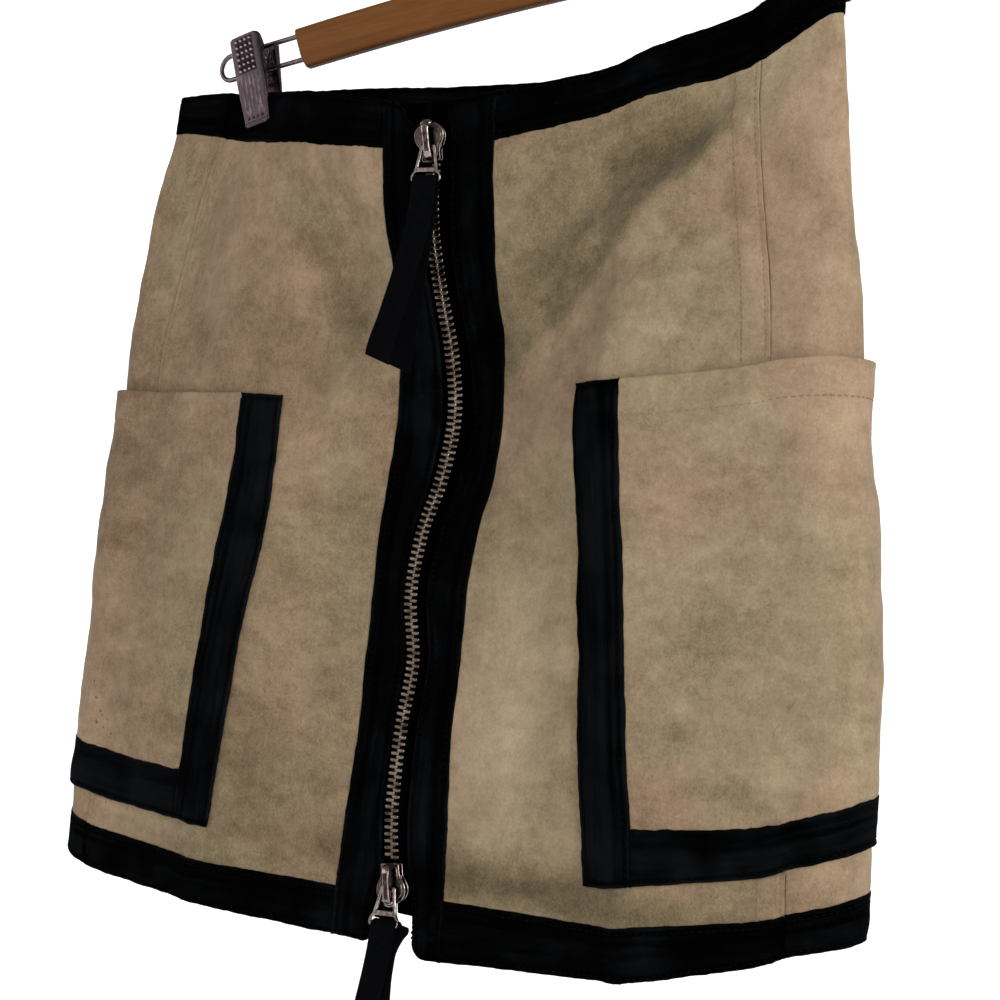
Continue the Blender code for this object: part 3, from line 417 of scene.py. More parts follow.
def creases(x, z, side):
    out = np.zeros_like(x)
    for x0, z0, x1, z1, half, rise, on in CREASES:
        if on != side:
            continue
        dx, dz = x1 - x0, z1 - z0
        length = math.hypot(dx, dz)
        along = ((x - x0) * dx + (z - z0) * dz) / length
        off = ((x - x0) * dz - (z - z0) * dx) / length
        # a slight bow, so that no crease is a ruled line
        off = off + 0.06 * length * np.sin(math.pi * np.clip(along / length, -0.3, 1.3)) * math.copysign(1, x1)
        t = along / length
        end = np.clip(1 - np.abs(t - 0.5) / 0.85, 0, 1)
        end = end * end * (3 - 2 * end)
        width = half * (0.75 + 0.6 * np.clip(t, 0, 1))
        out += rise * end * np.exp(-(off / width) ** 2)
    return out


def swell(x, z):
    out = np.zeros_like(x)
    for rise, kx, kz, ph in SWELLS:
        out += rise * np.sin(2 * math.pi * (kx * x + kz * z) * MM + ph + 0.7 * np.sin(z * 0.021 + kx))
    return out


def seam_x(z, side):
    w = columns(WIDTHS, z)
    return w[:, 0] + seam_in(z) if side < 0 else w[:, 6] - seam_in(z)


SEAM_STRIP = 12.8         # width of the seam allowance that is stitched down, mm
SEAM_LINES = (1.3, 11.9)  # its two lines of stitches, from the seam


def strip_rise(d):
    """Rise of the stitched-down allowance at d mm from the side seam."""
    up = 0.75 * np.clip((SEAM_STRIP + 0.7 - d) / 1.4, 0, 1) * (d >= -0.01)
    for at in SEAM_LINES:
        up = up - 0.42 * np.exp(-((d - at) / 0.75) ** 2) * (d >= 0)
    return up


def relief(s, v, p, strip=True):
    """What the fine relief adds to the skirt's surface, mm."""
    x, z = p[:, 0], p[:, 2]
    a = np.where(s > 12, s - 24, s)
    front = np.clip((6 - np.abs(a)) / 0.9, 0, 1)
    back = np.clip((np.abs(a) - 6) / 1.2, 0, 1)
    near_zip = np.clip((np.abs(a) - 1.0) / 1.2, 0, 1)
    top = 0.25 + 0.75 * np.clip((v - 0.0) / 1.2, 0, 1)
    low = 1 - 0.45 * np.clip((v - 4.6) / 1.2, 0, 1)
    out = 1.7 * (front * near_zip * creases(x, z, -1) + back * creases(x, z, 1)) * top * low
    out = out + 1.5 * swell(x, z) * (0.3 + 0.7 * near_zip) * top
    # bands waver a little at both edges
    wave = 0.35 * np.sin(x * 0.11 + 0.6) + 0.25 * np.sin(x * 0.23 + 2.0)
    out = out + wave * (np.clip((v - 4.7) / 1.3, 0, 1) + 0.5 * np.clip(1 - v, 0, 1)) * near_zip
    body = (np.abs(a) < 5.0001) & (np.abs(a) > 3.5) & (v > 1) & (v < 5)
    d = np.where(a > 0, seam_x(z, 1) - x, x - seam_x(z, -1))
    if strip:
        bare = np.clip(np.maximum(1.99 - v, v - 4.01) / 0.03, 0, 1)   # not under the pocket
        out = out + bare * np.where(body & (d < SEAM_STRIP + 1.5), strip_rise(np.maximum(d, 0)), 0)
    return out


def ground(s, v, strip=True):
    """Points of the finished surface and its outward normals, for flat arrays."""
    s = np.asarray(s, float)
    a = np.abs(np.where(s > 12, s - 24, s))
    n = outward(s, v)
    # the pattern's straight and round runs meet at the seams: ease the change
    p = skirt(s, v)
    for at, wide in ((5.0, 0.30), (7.0, 0.30)):
        d = 0.15 * np.clip(1 - np.abs(a - at) / wide, 0, 1)
        p = np.where((d > 0)[:, None], (skirt(s - d, v) + 2 * p + skirt(s + d, v)) / 4, p)
    return p + n * relief(s, v, p, strip)[:, None], n


def grid_normals(P):
    ds = np.gradient(P, axis=0)
    dv = np.gradient(P, axis=1)
    n = np.cross(dv, ds)
    return n / np.maximum(np.linalg.norm(n, axis=-1, keepdims=True), 1e-9)


def scale_s(s, v):
    e = 0.01
    return np.linalg.norm(skirt(s + e, v) - skirt(s - e, v), axis=-1) / (2 * e)


def inset_s(s_line, v, inward):
    """Pattern s at `inward` mm from the line s = s_line, for rows v and an
    array of distances of one sign; one row of results for each v."""
    v, inward = np.atleast_1d(v), np.atleast_1d(inward)
    sign = -1.0 if inward.sum() < 0 else 1.0
    steps = np.concatenate([[0, 0.01, 0.02, 0.035, 0.055, 0.08], np.linspace(0.11, 1.3, 26)])
    SS, VV = np.meshgrid(s_line + sign * steps, v, indexing="ij")
    P = skirt(SS.ravel(), VV.ravel()).reshape(SS.shape + (3,))
    run = np.concatenate([np.zeros((1, len(v))), np.cumsum(np.linalg.norm(np.diff(P, axis=0), axis=-1), 0)])
    near = np.minimum(run[1], 1e9) / steps[1]
    out = np.stack([np.interp(np.abs(inward), run[:, k], s_line + sign * steps) for k in range(len(v))])
    under = inward[None, :] * sign < 0
    return np.where(under, s_line + inward[None, :] / near[:, None], out)


def scale_v(s, v):
    e = 0.01
    a, b = np.clip(v - e, 0, 6), np.clip(v + e, 0, 6)
    return np.linalg.norm(skirt(s, b) - skirt(s, a), axis=-1) / (b - a)


def jitter(t, seed, size):
    """A small uneven wander along an edge; t in mm."""
    out = np.zeros_like(t)
    for k, (f, a) in enumerate(((0.31, 0.34), (0.83, 0.3), (1.9, 0.22), (3.7, 0.14))):
        out += a * np.sin(f * t + seed * (1.7 + k) + 0.8 * np.sin(0.13 * t * (k + 1) + seed))
    return size * out


def step_up(t, w):
    """0 below t = 0, 1 above t = w, smooth between."""
    t = np.clip(t / w, 0, 1)
    return t * t * (3 - 2 * t)


# ------------------------------------------------------------ mesh helpers ----
def new_mesh(name, co, quads, uv=None, attrs=None, mat=None, sharp=40.0, tris=None):
    """A mesh object from metres, quads (and tris) and per-point values."""
    quads = np.asarray(quads, np.int32).reshape(-1, 4)
    tris = np.zeros((0, 3), np.int32) if tris is None else np.asarray(tris, np.int32)
    # outward faces have a positive volume
    def vol(f):
        a, b, c = co[f[:, 0]], co[f[:, 1]], co[f[:, 2]]
        return (a * np.cross(b, c)).sum()
    total = vol(quads[:, [0, 1, 2]]) + vol(quads[:, [0, 2, 3]])
    if len(tris):
        total += vol(tris)
    if total < 0:
        quads, tris = quads[:, ::-1], tris[:, ::-1]
    me = bpy.data.meshes.new(name)
    me.vertices.add(len(co))
    me.vertices.foreach_set("co", np.ascontiguousarray(co, np.float32).ravel())
    loops = np.concatenate([quads.ravel(), tris.ravel()])
    me.loops.add(len(loops))
    me.loops.foreach_set("vertex_index", loops)
    counts = np.concatenate([np.full(len(quads), 4), np.full(len(tris), 3)])
    starts = np.concatenate([[0], np.cumsum(counts)[:-1]])
    me.polygons.add(len(counts))
    me.polygons.foreach_set("loop_start", starts.astype(np.int32))
    me.update(calc_edges=True)
    if uv is not None:
        layer = me.uv_layers.new(name="cloth")
        layer.data.foreach_set("uv", np.ascontiguousarray(uv[loops], np.float32).ravel())
    for key, vals in (attrs or {}).items():
        at = me.attributes.new(key, "FLOAT", "POINT")
        at.data.foreach_set("value", np.ascontiguousarray(vals, np.float32))
    me.validate()
    me.shade_smooth()
    me.set_sharp_from_angle(angle=math.radians(sharp))
    o = bpy.data.objects.new(name, me)
    bpy.context.scene.collection.objects.link(o)
    if mat is not None:
        me.materials.append(mat)
    return o


def shell_faces(ns, nv):
    i, j = np.meshgrid(np.arange(ns - 1), np.arange(nv - 1), indexing="ij")
    a = (i * nv + j).ravel()
    outer = np.stack([a, a + 1, a + nv + 1, a + nv], 1)
    off = ns * nv
    inner = outer[:, ::-1] + off
    rim = np.concatenate([np.arange(nv), np.arange(2 * nv - 1, ns * nv, nv),
                          np.arange(ns * nv - 2, (ns - 1) * nv - 1, -1),
                          np.arange((ns - 2) * nv, 0, -nv)])
    nxt = np.roll(rim, -1)
    side = np.stack([rim, rim + off, nxt + off, nxt], 1)
    return np.concatenate([outer, inner, side])


def shell(name, A, B, mat, uv=None, attrs=None, sharp=40.0):
    """A closed wall between two grids of points, both in skirt mm."""
    ns, nv = A.shape[:2]
    co = place(np.concatenate([A.reshape(-1, 3), B.reshape(-1, 3)]))
    uv2 = None if uv is None else np.concatenate([uv.reshape(-1, 2)] * 2)
    at2 = {k: np.concatenate([w.ravel()] * 2) for k, w in (attrs or {}).items()}
    return new_mesh(name, co, shell_faces(ns, nv), uv2, at2, mat, sharp)


# --------------------------------------------------------------- materials ----
class Nodes:
    """Small helper to write a node tree."""

    def __init__(self, name):
        self.mat = bpy.data.materials.new(name)
        self.mat.use_nodes = True
        self.tree = self.mat.node_tree
        self.bsdf = self.tree.nodes["Principled BSDF"]
        self.coord = self.tree.nodes.new("ShaderNodeTexCoord")

    def add(self, kind, ins=(), **props):
        n = self.tree.nodes.new(kind)
        for k, w in props.items():
            setattr(n, k, w)
        for k, w in dict(ins).items():
            if isinstance(w, bpy.types.NodeSocket):
                self.tree.links.new(w, n.inputs[k])
            else:
                n.inputs[k].default_value = w
        return n

    def noise(self, scale, detail=3.0, rough=0.55, dist=0.0, vec=None, stretch=None):
        vec = self.coord.outputs["Object"] if vec is None else vec
        if stretch is not None:
            vec = self.add("ShaderNodeMapping", {"Vector": vec, "Scale": stretch}).outputs["Vector"]
        n = self.add("ShaderNodeTexNoise", {"Vector": vec, "Scale": scale, "Detail": detail,
                                            "Roughness": rough, "Distortion": dist})
        return n.outputs["Fac"]

    def math(self, op, a, b=0.0, clamp=False):
        n = self.add("ShaderNodeMath", {0: a, 1: b}, operation=op)
        n.use_clamp = clamp
        return n.outputs[0]

    def fit(self, x, lo, hi, to_lo=0.0, to_hi=1.0, smooth=False):
        n = self.add("ShaderNodeMapRange", {0: x, 1: lo, 2: hi, 3: to_lo, 4: to_hi})
        n.interpolation_type = "SMOOTHSTEP" if smooth else "LINEAR"
        return n.outputs[0]

    def ramp(self, x, stops):
        n = self.add("ShaderNodeValToRGB", {0: x})
        el = n.color_ramp.elements
        while len(el) < len(stops):
            el.new(0.5)
        for e, (pos, col) in zip(el, stops):
            e.position = pos
            e.color = (*col, 1)
        return n.outputs["Color"]

    def mix(self, fac, a, b, blend="MIX"):
        n = self.add("ShaderNodeMix", data_type="RGBA", blend_type=blend)
        for sock, w in ((n.inputs[0], fac), (n.inputs[6], a), (n.inputs[7], b)):
            if isinstance(w, bpy.types.NodeSocket):
                self.tree.links.new(w, sock)
            elif isinstance(w, tuple):
                sock.default_value = (*w, 1)
            else:
                sock.default_value = w
        return n.outputs[2]

    def attr(self, name):
        n = self.add("ShaderNodeAttribute", attribute_name=name)
        return n.outputs["Fac"]

    def uv(self):
        return self.coord.outputs["UV"]

    def bump(self, height, strength, dist, under=None):
        ins = {"Height": height, "Strength": strength, "Distance": dist}
        if under is not None:
            ins["Normal"] = under
        return self.add("ShaderNodeBump", ins).outputs["Normal"]

    def out(self, **socks):
        names = {"color": "Base Color", "rough": "Roughness", "metal": "Metallic", "normal": "Normal",
                 "sheen": "Sheen Weight", "sheen_rough": "Sheen Roughness", "sheen_tint": "Sheen Tint",
                 "spec": "Specular IOR Level", "coat": "Coat Weight", "coat_rough": "Coat Roughness",
                 "aniso": "Anisotropic"}
        for k, w in socks.items():
            s = self.bsdf.inputs[names[k]]
            if isinstance(w, bpy.types.NodeSocket):
                self.tree.links.new(w, s)
            elif isinstance(w, tuple):
                s.default_value = (*w, 1)
            else:
                s.default_value = w
        return self.mat


def suede_material(name, inside=False):
    """Napped hide: broad cloudy patches, brushed strokes, fine grain."""
    m = Nodes(name)
    broad = m.noise(7.5, 3.0, 0.5, 0.9)
    patch = m.noise(26.0, 5.0, 0.62, 0.7)
    strokes = m.noise(1.0, 5.0, 0.68, 0.6, stretch=(120.0, 120.0, 74.0))
    slant = m.add("ShaderNodeMapping", {"Vector": m.coord.outputs["Object"],
                                        "Rotation": (0, math.radians(38), 0),
                                        "Scale": (40.0, 70.0, 96.0)}).outputs["Vector"]
    brushed = m.noise(1.0, 3.0, 0.6, 0.8, vec=slant)
    grain = m.noise(900.0, 3.0, 0.7)
    fibre = m.noise(1.0, 2.0, 0.7, 0.0, stretch=(2600.0, 2600.0, 900.0))
    flecks = m.noise(1.0, 3.0, 0.65, 0.5, stretch=(420.0, 420.0, 250.0))
    # streaks of nap and of painted shade and light, drawn out along the folds that fan from the clips
    fan = m.add("ShaderNodeCombineXYZ", {0: m.attr("fan_a"), 1: m.attr("fan_r")}).outputs[0]
    fan_wide = m.add("ShaderNodeTexNoise", {"Vector": m.add("ShaderNodeMapping", {
        "Vector": fan, "Scale": (9.0, 5.0, 1.0)}).outputs["Vector"], "Scale": 1.0, "Detail": 4.0,
        "Roughness": 0.62, "Distortion": 0.35}).outputs["Fac"]
    fan_fine = m.add("ShaderNodeTexNoise", {"Vector": m.add("ShaderNodeMapping", {
        "Vector": fan, "Scale": (46.0, 17.0, 1.0)}).outputs["Vector"], "Scale": 1.0, "Detail": 3.0,
        "Roughness": 0.6, "Distortion": 0.5}).outputs["Fac"]
    t = m.math("MULTIPLY_ADD", m.math("SUBTRACT", broad, 0.5), 0.80)
    t.node.inputs[2].default_value = 0.53
    for src, amount in ((patch, 0.36), (strokes, 0.38), (brushed, 0.30), (grain, 0.58), (fibre, 0.44),
                        (flecks, 0.32), (fan_wide, 0.52), (fan_fine, 0.30)):
        t = m.math("ADD", t, m.math("MULTIPLY", m.math("SUBTRACT", src, 0.5), amount))
    # the mesh's tone: uneven colour of the hide together with painted shade and light of its folds
    t = m.math("ADD", t, m.attr("tone_and_painted_shade"))
    if inside:
        t = m.math("ADD", t, 0.06)
    col = m.ramp(t, [(0.0, (0.065, 0.048, 0.028)), (0.26, (0.119, 0.088, 0.055)),
                     (0.50, (0.181, 0.136, 0.090)), (0.72, (0.237, 0.181, 0.125)),
                     (1.0, (0.308, 0.243, 0.175))])
    # greener where the nap lies the other way and in the painted shade of the folds, elsewhere rosier
    hue = m.fit(m.math("ADD", m.noise(11.0, 2.0, 0.5, 0.6, stretch=(1.0, 1.0, 0.8)), m.attr("olive")),
                0.36, 0.66, smooth=True)
    rosy = m.mix(0.55, col, (0.99, 0.815, 0.72), "MULTIPLY")
    olive = m.mix(0.55, col, (0.94, 0.98, 0.81), "MULTIPLY")
    col = m.mix(hue, rosy, olive)
    scuff = m.fit(m.noise(64.0, 5.0, 0.7, 0.4), 0.63, 0.74, smooth=True)
    col = m.mix(m.math("MULTIPLY", scuff, 0.22), col, (0.075, 0.056, 0.034))
    if not inside:
        col = specks(m, col)
    b1 = m.bump(m.noise(210.0, 4.0, 0.65, 0.3), 0.35, 0.0005)
    b2 = m.bump(m.math("ADD", grain, m.math("MULTIPLY", fibre, 0.6)), 0.55, 0.00022, b1)
    return m.out(color=col, rough=m.fit(patch, 0.3, 0.7, 0.86, 0.97), normal=b2, spec=0.06,
                 sheen=0.12, sheen_rough=0.5, sheen_tint=(1.0, 0.95, 0.86))


# Small dark flecks near the left pocket's lower corner: x, z and radius, mm
SPECKS = ((-212, -354, 0.7), (-209, -361, 0.55), (-210.5, -367, 0.8), (-205, -369.5, 0.6), (-207, -363, 0.4),
          (-203, -365, 0.4), (-168, -262, 0.4), (-214, -345, 0.4), (-199, -372, 0.5))


def specks(m, col):
    sep = m.add("ShaderNodeSeparateXYZ", {0: m.coord.outputs["Object"]})
    wob = m.math("MULTIPLY", m.math("SUBTRACT", m.noise(700.0, 2.0), 0.5), 0.0022)
    total = None
    for x, z, r in SPECKS:
        px, _, pz = place((x, 0, z))
        dx = m.math("SUBTRACT", sep.outputs[0], float(px))
        dz = m.math("SUBTRACT", sep.outputs[2], float(pz))
        d = m.math("SQRT", m.math("ADD", m.math("MULTIPLY", dx, dx), m.math("MULTIPLY", dz, dz)))
        k = m.fit(m.math("ADD", d, wob), r * MM * 0.5, r * MM * 1.5, 1.0, 0.0, smooth=True)
        total = k if total is None else m.math("MAXIMUM", total, k)
    return m.mix(m.math("MULTIPLY", total, 0.72), col, (0.030, 0.022, 0.014))


def trim_material(name, base, lift, twill=0.00075, rough=0.86):
    """Black tape: fine diagonal weave, lint, soft wear, painted highlights along its edges and painted shade in its
    stitch creases.
    """
    m = Nodes(name)
    uv = m.uv()
    diag = m.add("ShaderNodeMapping", {"Vector": uv, "Rotation": (0, 0, math.radians(52))}).outputs["Vector"]
    w1 = m.add("ShaderNodeTexWave", {"Vector": diag, "Scale": 0.31416 / twill, "Distortion": 0.8,
                                     "Detail": 1.0, "Detail Scale": 2.0}, bands_direction="X").outputs["Fac"]
    w2 = m.add("ShaderNodeTexWave", {"Vector": uv, "Scale": 0.31416 / (twill * 0.62), "Distortion": 0.6,
                                     "Detail": 1.0}, bands_direction="Y").outputs["Fac"]
    fuzz = m.noise(1300.0, 3.0, 0.7)
    cloud = m.noise(34.0, 4.0, 0.6, 0.4)
    lint = m.fit(m.noise(420.0, 2.0, 0.6, 0.6), 0.70, 0.76, smooth=True)
    wear = m.noise(15.0, 3.0, 0.55, 0.5)
    streak = m.add("ShaderNodeTexNoise", {"Vector": m.add("ShaderNodeMapping", {
        "Vector": uv, "Scale": (20.0, 300.0, 1.0)}).outputs["Vector"], "Scale": 1.0, "Detail": 3.0,
        "Roughness": 0.6, "Distortion": 0.4}).outputs["Fac"]
    t = m.math("ADD", m.math("MULTIPLY", fuzz, 0.34), m.math("MULTIPLY", w1, 0.24))
    for src, amount in ((cloud, 1.10), (wear, 1.20), (streak, 0.70)):
        t = m.math("ADD", t, m.math("MULTIPLY", m.math("SUBTRACT", src, 0.5), amount))
    # rim: a painted highlight along the tape's free and lapped edges
    t = m.math("ADD", t, m.math("MULTIPLY", m.attr("rim"), 0.20))
    t = m.math("ADD", t, m.attr("worn"))
    # groove: painted shade in the stitch creases, and the dark joint where tapes butt
    t = m.math("SUBTRACT", t, m.math("MULTIPLY", m.attr("groove"), 0.42))
    col = m.ramp(t, [(0.0, tuple(0.25 * c for c in base)), (0.25, base), (0.85, lift)])
    col = m.mix(m.math("MULTIPLY", lint, 0.10), col, (0.03, 0.028, 0.026))
    h = m.math("ADD", m.math("MULTIPLY", w1, 0.6), m.math("MULTIPLY", w2, 0.4))
    b1 = m.bump(cloud, 0.25, 0.0006)
    b2 = m.bump(m.math("ADD", h, m.math("MULTIPLY", fuzz, 0.8)), 0.5, 0.00016, b1)
    return m.out(color=col, rough=m.fit(cloud, 0.3, 0.7, rough - 0.06, rough + 0.06), normal=b2, spec=0.004,
                 sheen=0.002, sheen_rough=0.5, sheen_tint=(0.75, 0.82, 1.0))


def ribbon_material(name):
    m = Nodes(name)
    uv = m.uv()
    ribs = m.add("ShaderNodeTexWave", {"Vector": uv, "Scale": 0.31416 / 0.00042, "Distortion": 0.5,
                                       "Detail": 1.0}, bands_direction="X").outputs["Fac"]
    fuzz = m.noise(1500.0, 3.0, 0.7)
    cloud = m.noise(60.0, 3.0, 0.5)
    t = m.math("ADD", m.math("MULTIPLY", fuzz, 0.5), m.math("MULTIPLY", cloud, 0.5))
    col = m.ramp(t, [(0.2, (0.0004, 0.0005, 0.0007)), (0.8, (0.0022, 0.0024, 0.0031))])
    b = m.bump(m.math("ADD", ribs, fuzz), 0.45, 0.00014)
    return m.out(color=col, rough=m.fit(cloud, 0.3, 0.7, 0.68, 0.82), normal=b, spec=0.012, sheen=0.003,
                 sheen_rough=0.4, sheen_tint=(0.8, 0.85, 1.0))


def thread_material(name, dark, light):
    m = Nodes(name)
    n = m.noise(2200.0, 2.0, 0.6)
    col = m.ramp(m.math("ADD", m.math("MULTIPLY", n, 0.6), m.math("MULTIPLY", m.noise(40.0, 2.0), 0.4)),
                 [(0.25, dark), (0.75, light)])
    return m.out(color=col, rough=m.fit(n, 0.3, 0.7, 0.65, 0.85), normal=m.bump(n, 0.4, 0.0001), spec=0.02)


def metal_material(name, dark, light, rough_lo, rough_hi, scratch=0.25, grime=0.3):
    """Plated metal: cloudy tarnish, fine scratches, grime in small spots."""
    m = Nodes(name)
    cloud = m.noise(170.0, 4.0, 0.6, 0.5)
    fine = m.noise(1.0, 2.0, 0.6, 0.0, stretch=(5200.0, 900.0, 5200.0))
    spots = m.fit(m.noise(640.0, 3.0, 0.7), 0.60, 0.74, smooth=True)
    col = m.ramp(cloud, [(0.3, dark), (0.68, light)])
    col = m.mix(m.math("MULTIPLY", spots, grime), col, tuple(0.35 * c for c in dark))
    rough = m.fit(m.math("ADD", m.math("MULTIPLY", cloud, 0.6), m.math("MULTIPLY", fine, 0.4)),
                  0.3, 0.7, rough_lo, rough_hi)
    return m.out(color=col, metal=1.0, rough=rough, normal=m.bump(fine, scratch, 0.00006))


def pressed_material(name, low, high, rough_lo, rough_hi):
    """Pressed plated steel: painted shade in its hollows and painted highlights where it stands up."""
    m = Nodes(name)
    cloud = m.noise(150.0, 4.0, 0.6, 0.5)
    streak = m.noise(1.0, 2.0, 0.6, 0.3, stretch=(700.0, 700.0, 60.0))
    fine = m.noise(1.0, 2.0, 0.6, 0.0, stretch=(5200.0, 5200.0, 900.0))
    t = m.math("ADD", m.attr("boss_light_and_shade"), m.math("MULTIPLY", m.math("SUBTRACT", cloud, 0.5), 0.5))
    t = m.math("ADD", t, m.math("MULTIPLY", m.math("SUBTRACT", streak, 0.5), 0.25))
    col = m.ramp(t, [(0.0, low), (0.35, tuple(0.85 * a + 0.15 * b for a, b in zip(low, high))),
                     (0.66, tuple(0.84 * a + 0.16 * b for a, b in zip(low, high))), (1.0, high)])
    rough = m.fit(m.math("ADD", m.math("MULTIPLY", cloud, 0.6), m.math("MULTIPLY", fine, 0.4)),
                  0.3, 0.7, rough_lo, rough_hi)
    return m.out(color=col, metal=1.0, rough=rough, normal=m.bump(fine, 0.25, 0.00005))


def plated_material(name, flat_dark, flat_light, rim_dark, rim_light, rough_lo, rough_hi):
    """Plated stampings: flats painted dark as a dark reflection, edges painted light as highlights."""
    m = Nodes(name)
    cloud = m.noise(300.0, 4.0, 0.62, 0.8)
    streak = m.noise(1.0, 2.0, 0.6, 0.3, stretch=(900.0, 900.0, 160.0))
    fine = m.noise(1.0, 2.0, 0.6, 0.0, stretch=(5200.0, 900.0, 5200.0))
    t = m.math("ADD", m.math("MULTIPLY", cloud, 0.55), m.math("MULTIPLY", streak, 0.45))
    flat = m.ramp(t, [(0.40, flat_dark), (0.62, flat_light)])
    rim = m.ramp(t, [(0.36, rim_dark), (0.60, rim_light)])
    # painted dark reflection on the flat faces, painted highlights on the rounded edges
    col = m.mix(m.attr("flat"), rim, flat)
    rough = m.fit(m.math("ADD", m.math("MULTIPLY", cloud, 0.6), m.math("MULTIPLY", fine, 0.4)),
                  0.3, 0.7, rough_lo, rough_hi)
    return m.out(color=col, metal=1.0, rough=rough, normal=m.bump(m.math("ADD", fine, cloud), 0.3, 0.00008))


def wood_material(name):
    """Clear-coated beech stained warm brown, grain along the bar."""
    m = Nodes(name)
    rot = m.add("ShaderNodeMapping", {"Vector": m.coord.outputs["Object"],
                                      "Rotation": (0, math.radians(BAR_TILT), 0)}).outputs["Vector"]
    long = m.add("ShaderNodeMapping", {"Vector": rot, "Scale": (9.0, 150.0, 170.0)}).outputs["Vector"]
    rings = m.add("ShaderNodeTexNoise", {"Vector": long, "Scale": 1.0, "Detail": 4.0, "Roughness": 0.6,
                                         "Distortion": 1.6}).outputs["Fac"]
    fine = m.noise(1.0, 3.0, 0.7, 0.2, vec=m.add("ShaderNodeMapping", {
        "Vector": rot, "Scale": (90.0, 1900.0, 1900.0)}).outputs["Vector"])
    pores = m.fit(m.noise(1.0, 1.0, 0.5, 0.0, vec=m.add("ShaderNodeMapping", {
        "Vector": rot, "Scale": (240.0, 2600.0, 2600.0)}).outputs["Vector"]), 0.66, 0.74, smooth=True)
    col = m.ramp(m.math("ADD", m.math("MULTIPLY", rings, 0.72), m.math("MULTIPLY", fine, 0.30)),
                 [(0.30, (0.082, 0.028, 0.0052)), (0.52, (0.112, 0.040, 0.0078)), (0.74, (0.140, 0.053, 0.0115))])
    col = m.mix(m.math("MULTIPLY", pores, 0.5), col, (0.05, 0.02, 0.007))
    # painted shade along the bar's underside
    col = m.mix(m.math("MULTIPLY", m.attr("under"), 0.72), col, (0.030, 0.012, 0.004))
    b = m.bump(m.math("ADD", rings, m.math("MULTIPLY", fine, 0.3)), 0.15, 0.0003)
    return m.out(color=col, rough=m.fit(fine, 0.3, 0.7, 0.42, 0.55), normal=b, spec=0.10, coat=0.02, coat_rough=0.3)


SUEDE_M = suede_material("suede_napped")
TRIM_M = trim_material("black_tape", (0.0004, 0.0005, 0.0006), (0.0040, 0.0045, 0.0055))
TAPE_M = trim_material("zip_tape_weave", (0.0002, 0.0002, 0.0003), (0.0016, 0.0018, 0.0022), 0.0006)
RIBBON_M = ribbon_material("ribbed_tape")
THREAD_B = thread_material("black_thread", (0.0005, 0.0006, 0.0007), (0.0022, 0.0024, 0.0029))
THREAD_T = thread_material("tan_thread", (0.112, 0.084, 0.053), (0.180, 0.139, 0.091))
TEETH_M = metal_material("aged_brass_teeth", (0.028, 0.019, 0.014), (0.185, 0.148, 0.118), 0.14, 0.34, 0.3, 0.6)
# the sliders and the tabs are one nickel: the sliders' copy is darker, with more painted dark reflection, and the tabs'
# copy lighter, painted as lit where it faces the lamp
SLIDER_M = plated_material("slider_nickel", (0.018, 0.013, 0.012), (0.075, 0.056, 0.053), (0.060, 0.046, 0.043),
                           (0.34, 0.285, 0.268), 0.10, 0.26)
TAB_M = plated_material("tab_nickel", (0.062, 0.045, 0.043), (0.235, 0.186, 0.178), (0.080, 0.062, 0.058),
                        (0.44, 0.375, 0.36), 0.10, 0.24)
CLIP_M = metal_material("plated_clip_steel", (0.022, 0.017, 0.020), (0.085, 0.066, 0.075), 0.14, 0.34, 0.3, 0.35)
JAW_M = pressed_material("pressed_jaw_steel", (0.012, 0.008, 0.009), (0.278, 0.214, 0.240), 0.16, 0.34)
WIRE_M = metal_material("plated_wire", (0.055, 0.044, 0.042), (0.16, 0.135, 0.13), 0.10, 0.28, 0.25, 0.3)
WOOD_M = wood_material("stained_wood")
# ------------------------------------------------------------ cloth pieces ----
# Distances from a line at which a tape gets extra grid lines, mm: where it
# laps over the suede, at a free edge, and where it butts on another tape.
LIP = (-0.7, -0.5, -0.2, 0.1, 0.4, 0.9, 1.4, 1.9, 2.4, 2.9, 3.5)
FREE = (0.0, 0.12, 0.35, 0.7, 1.2, 1.7, 2.2, 2.7, 3.4)
BUTT = (0.02, 0.12, 0.4, 1.1, 2.0, 3.0)
PLAIN = (0.15, 0.5, 1.2)
STITCH_IN = 2.3           # topstitching from a tape's edge, mm
LAYERS_IN = 6.6           # where the folded layers inside a tape end, mm


def edge_s(s_line, v, dist, sign):
    """Rows of s at signed distances inside (or outside) one side's line."""
    inside = inset_s(s_line, v, sign * np.maximum(dist, 0))
    near = scale_s(np.full(len(v), s_line + sign * 0.02), v)[:, None]
    return np.where(dist[None, :] < 0, s_line + sign * dist[None, :] / near, inside)


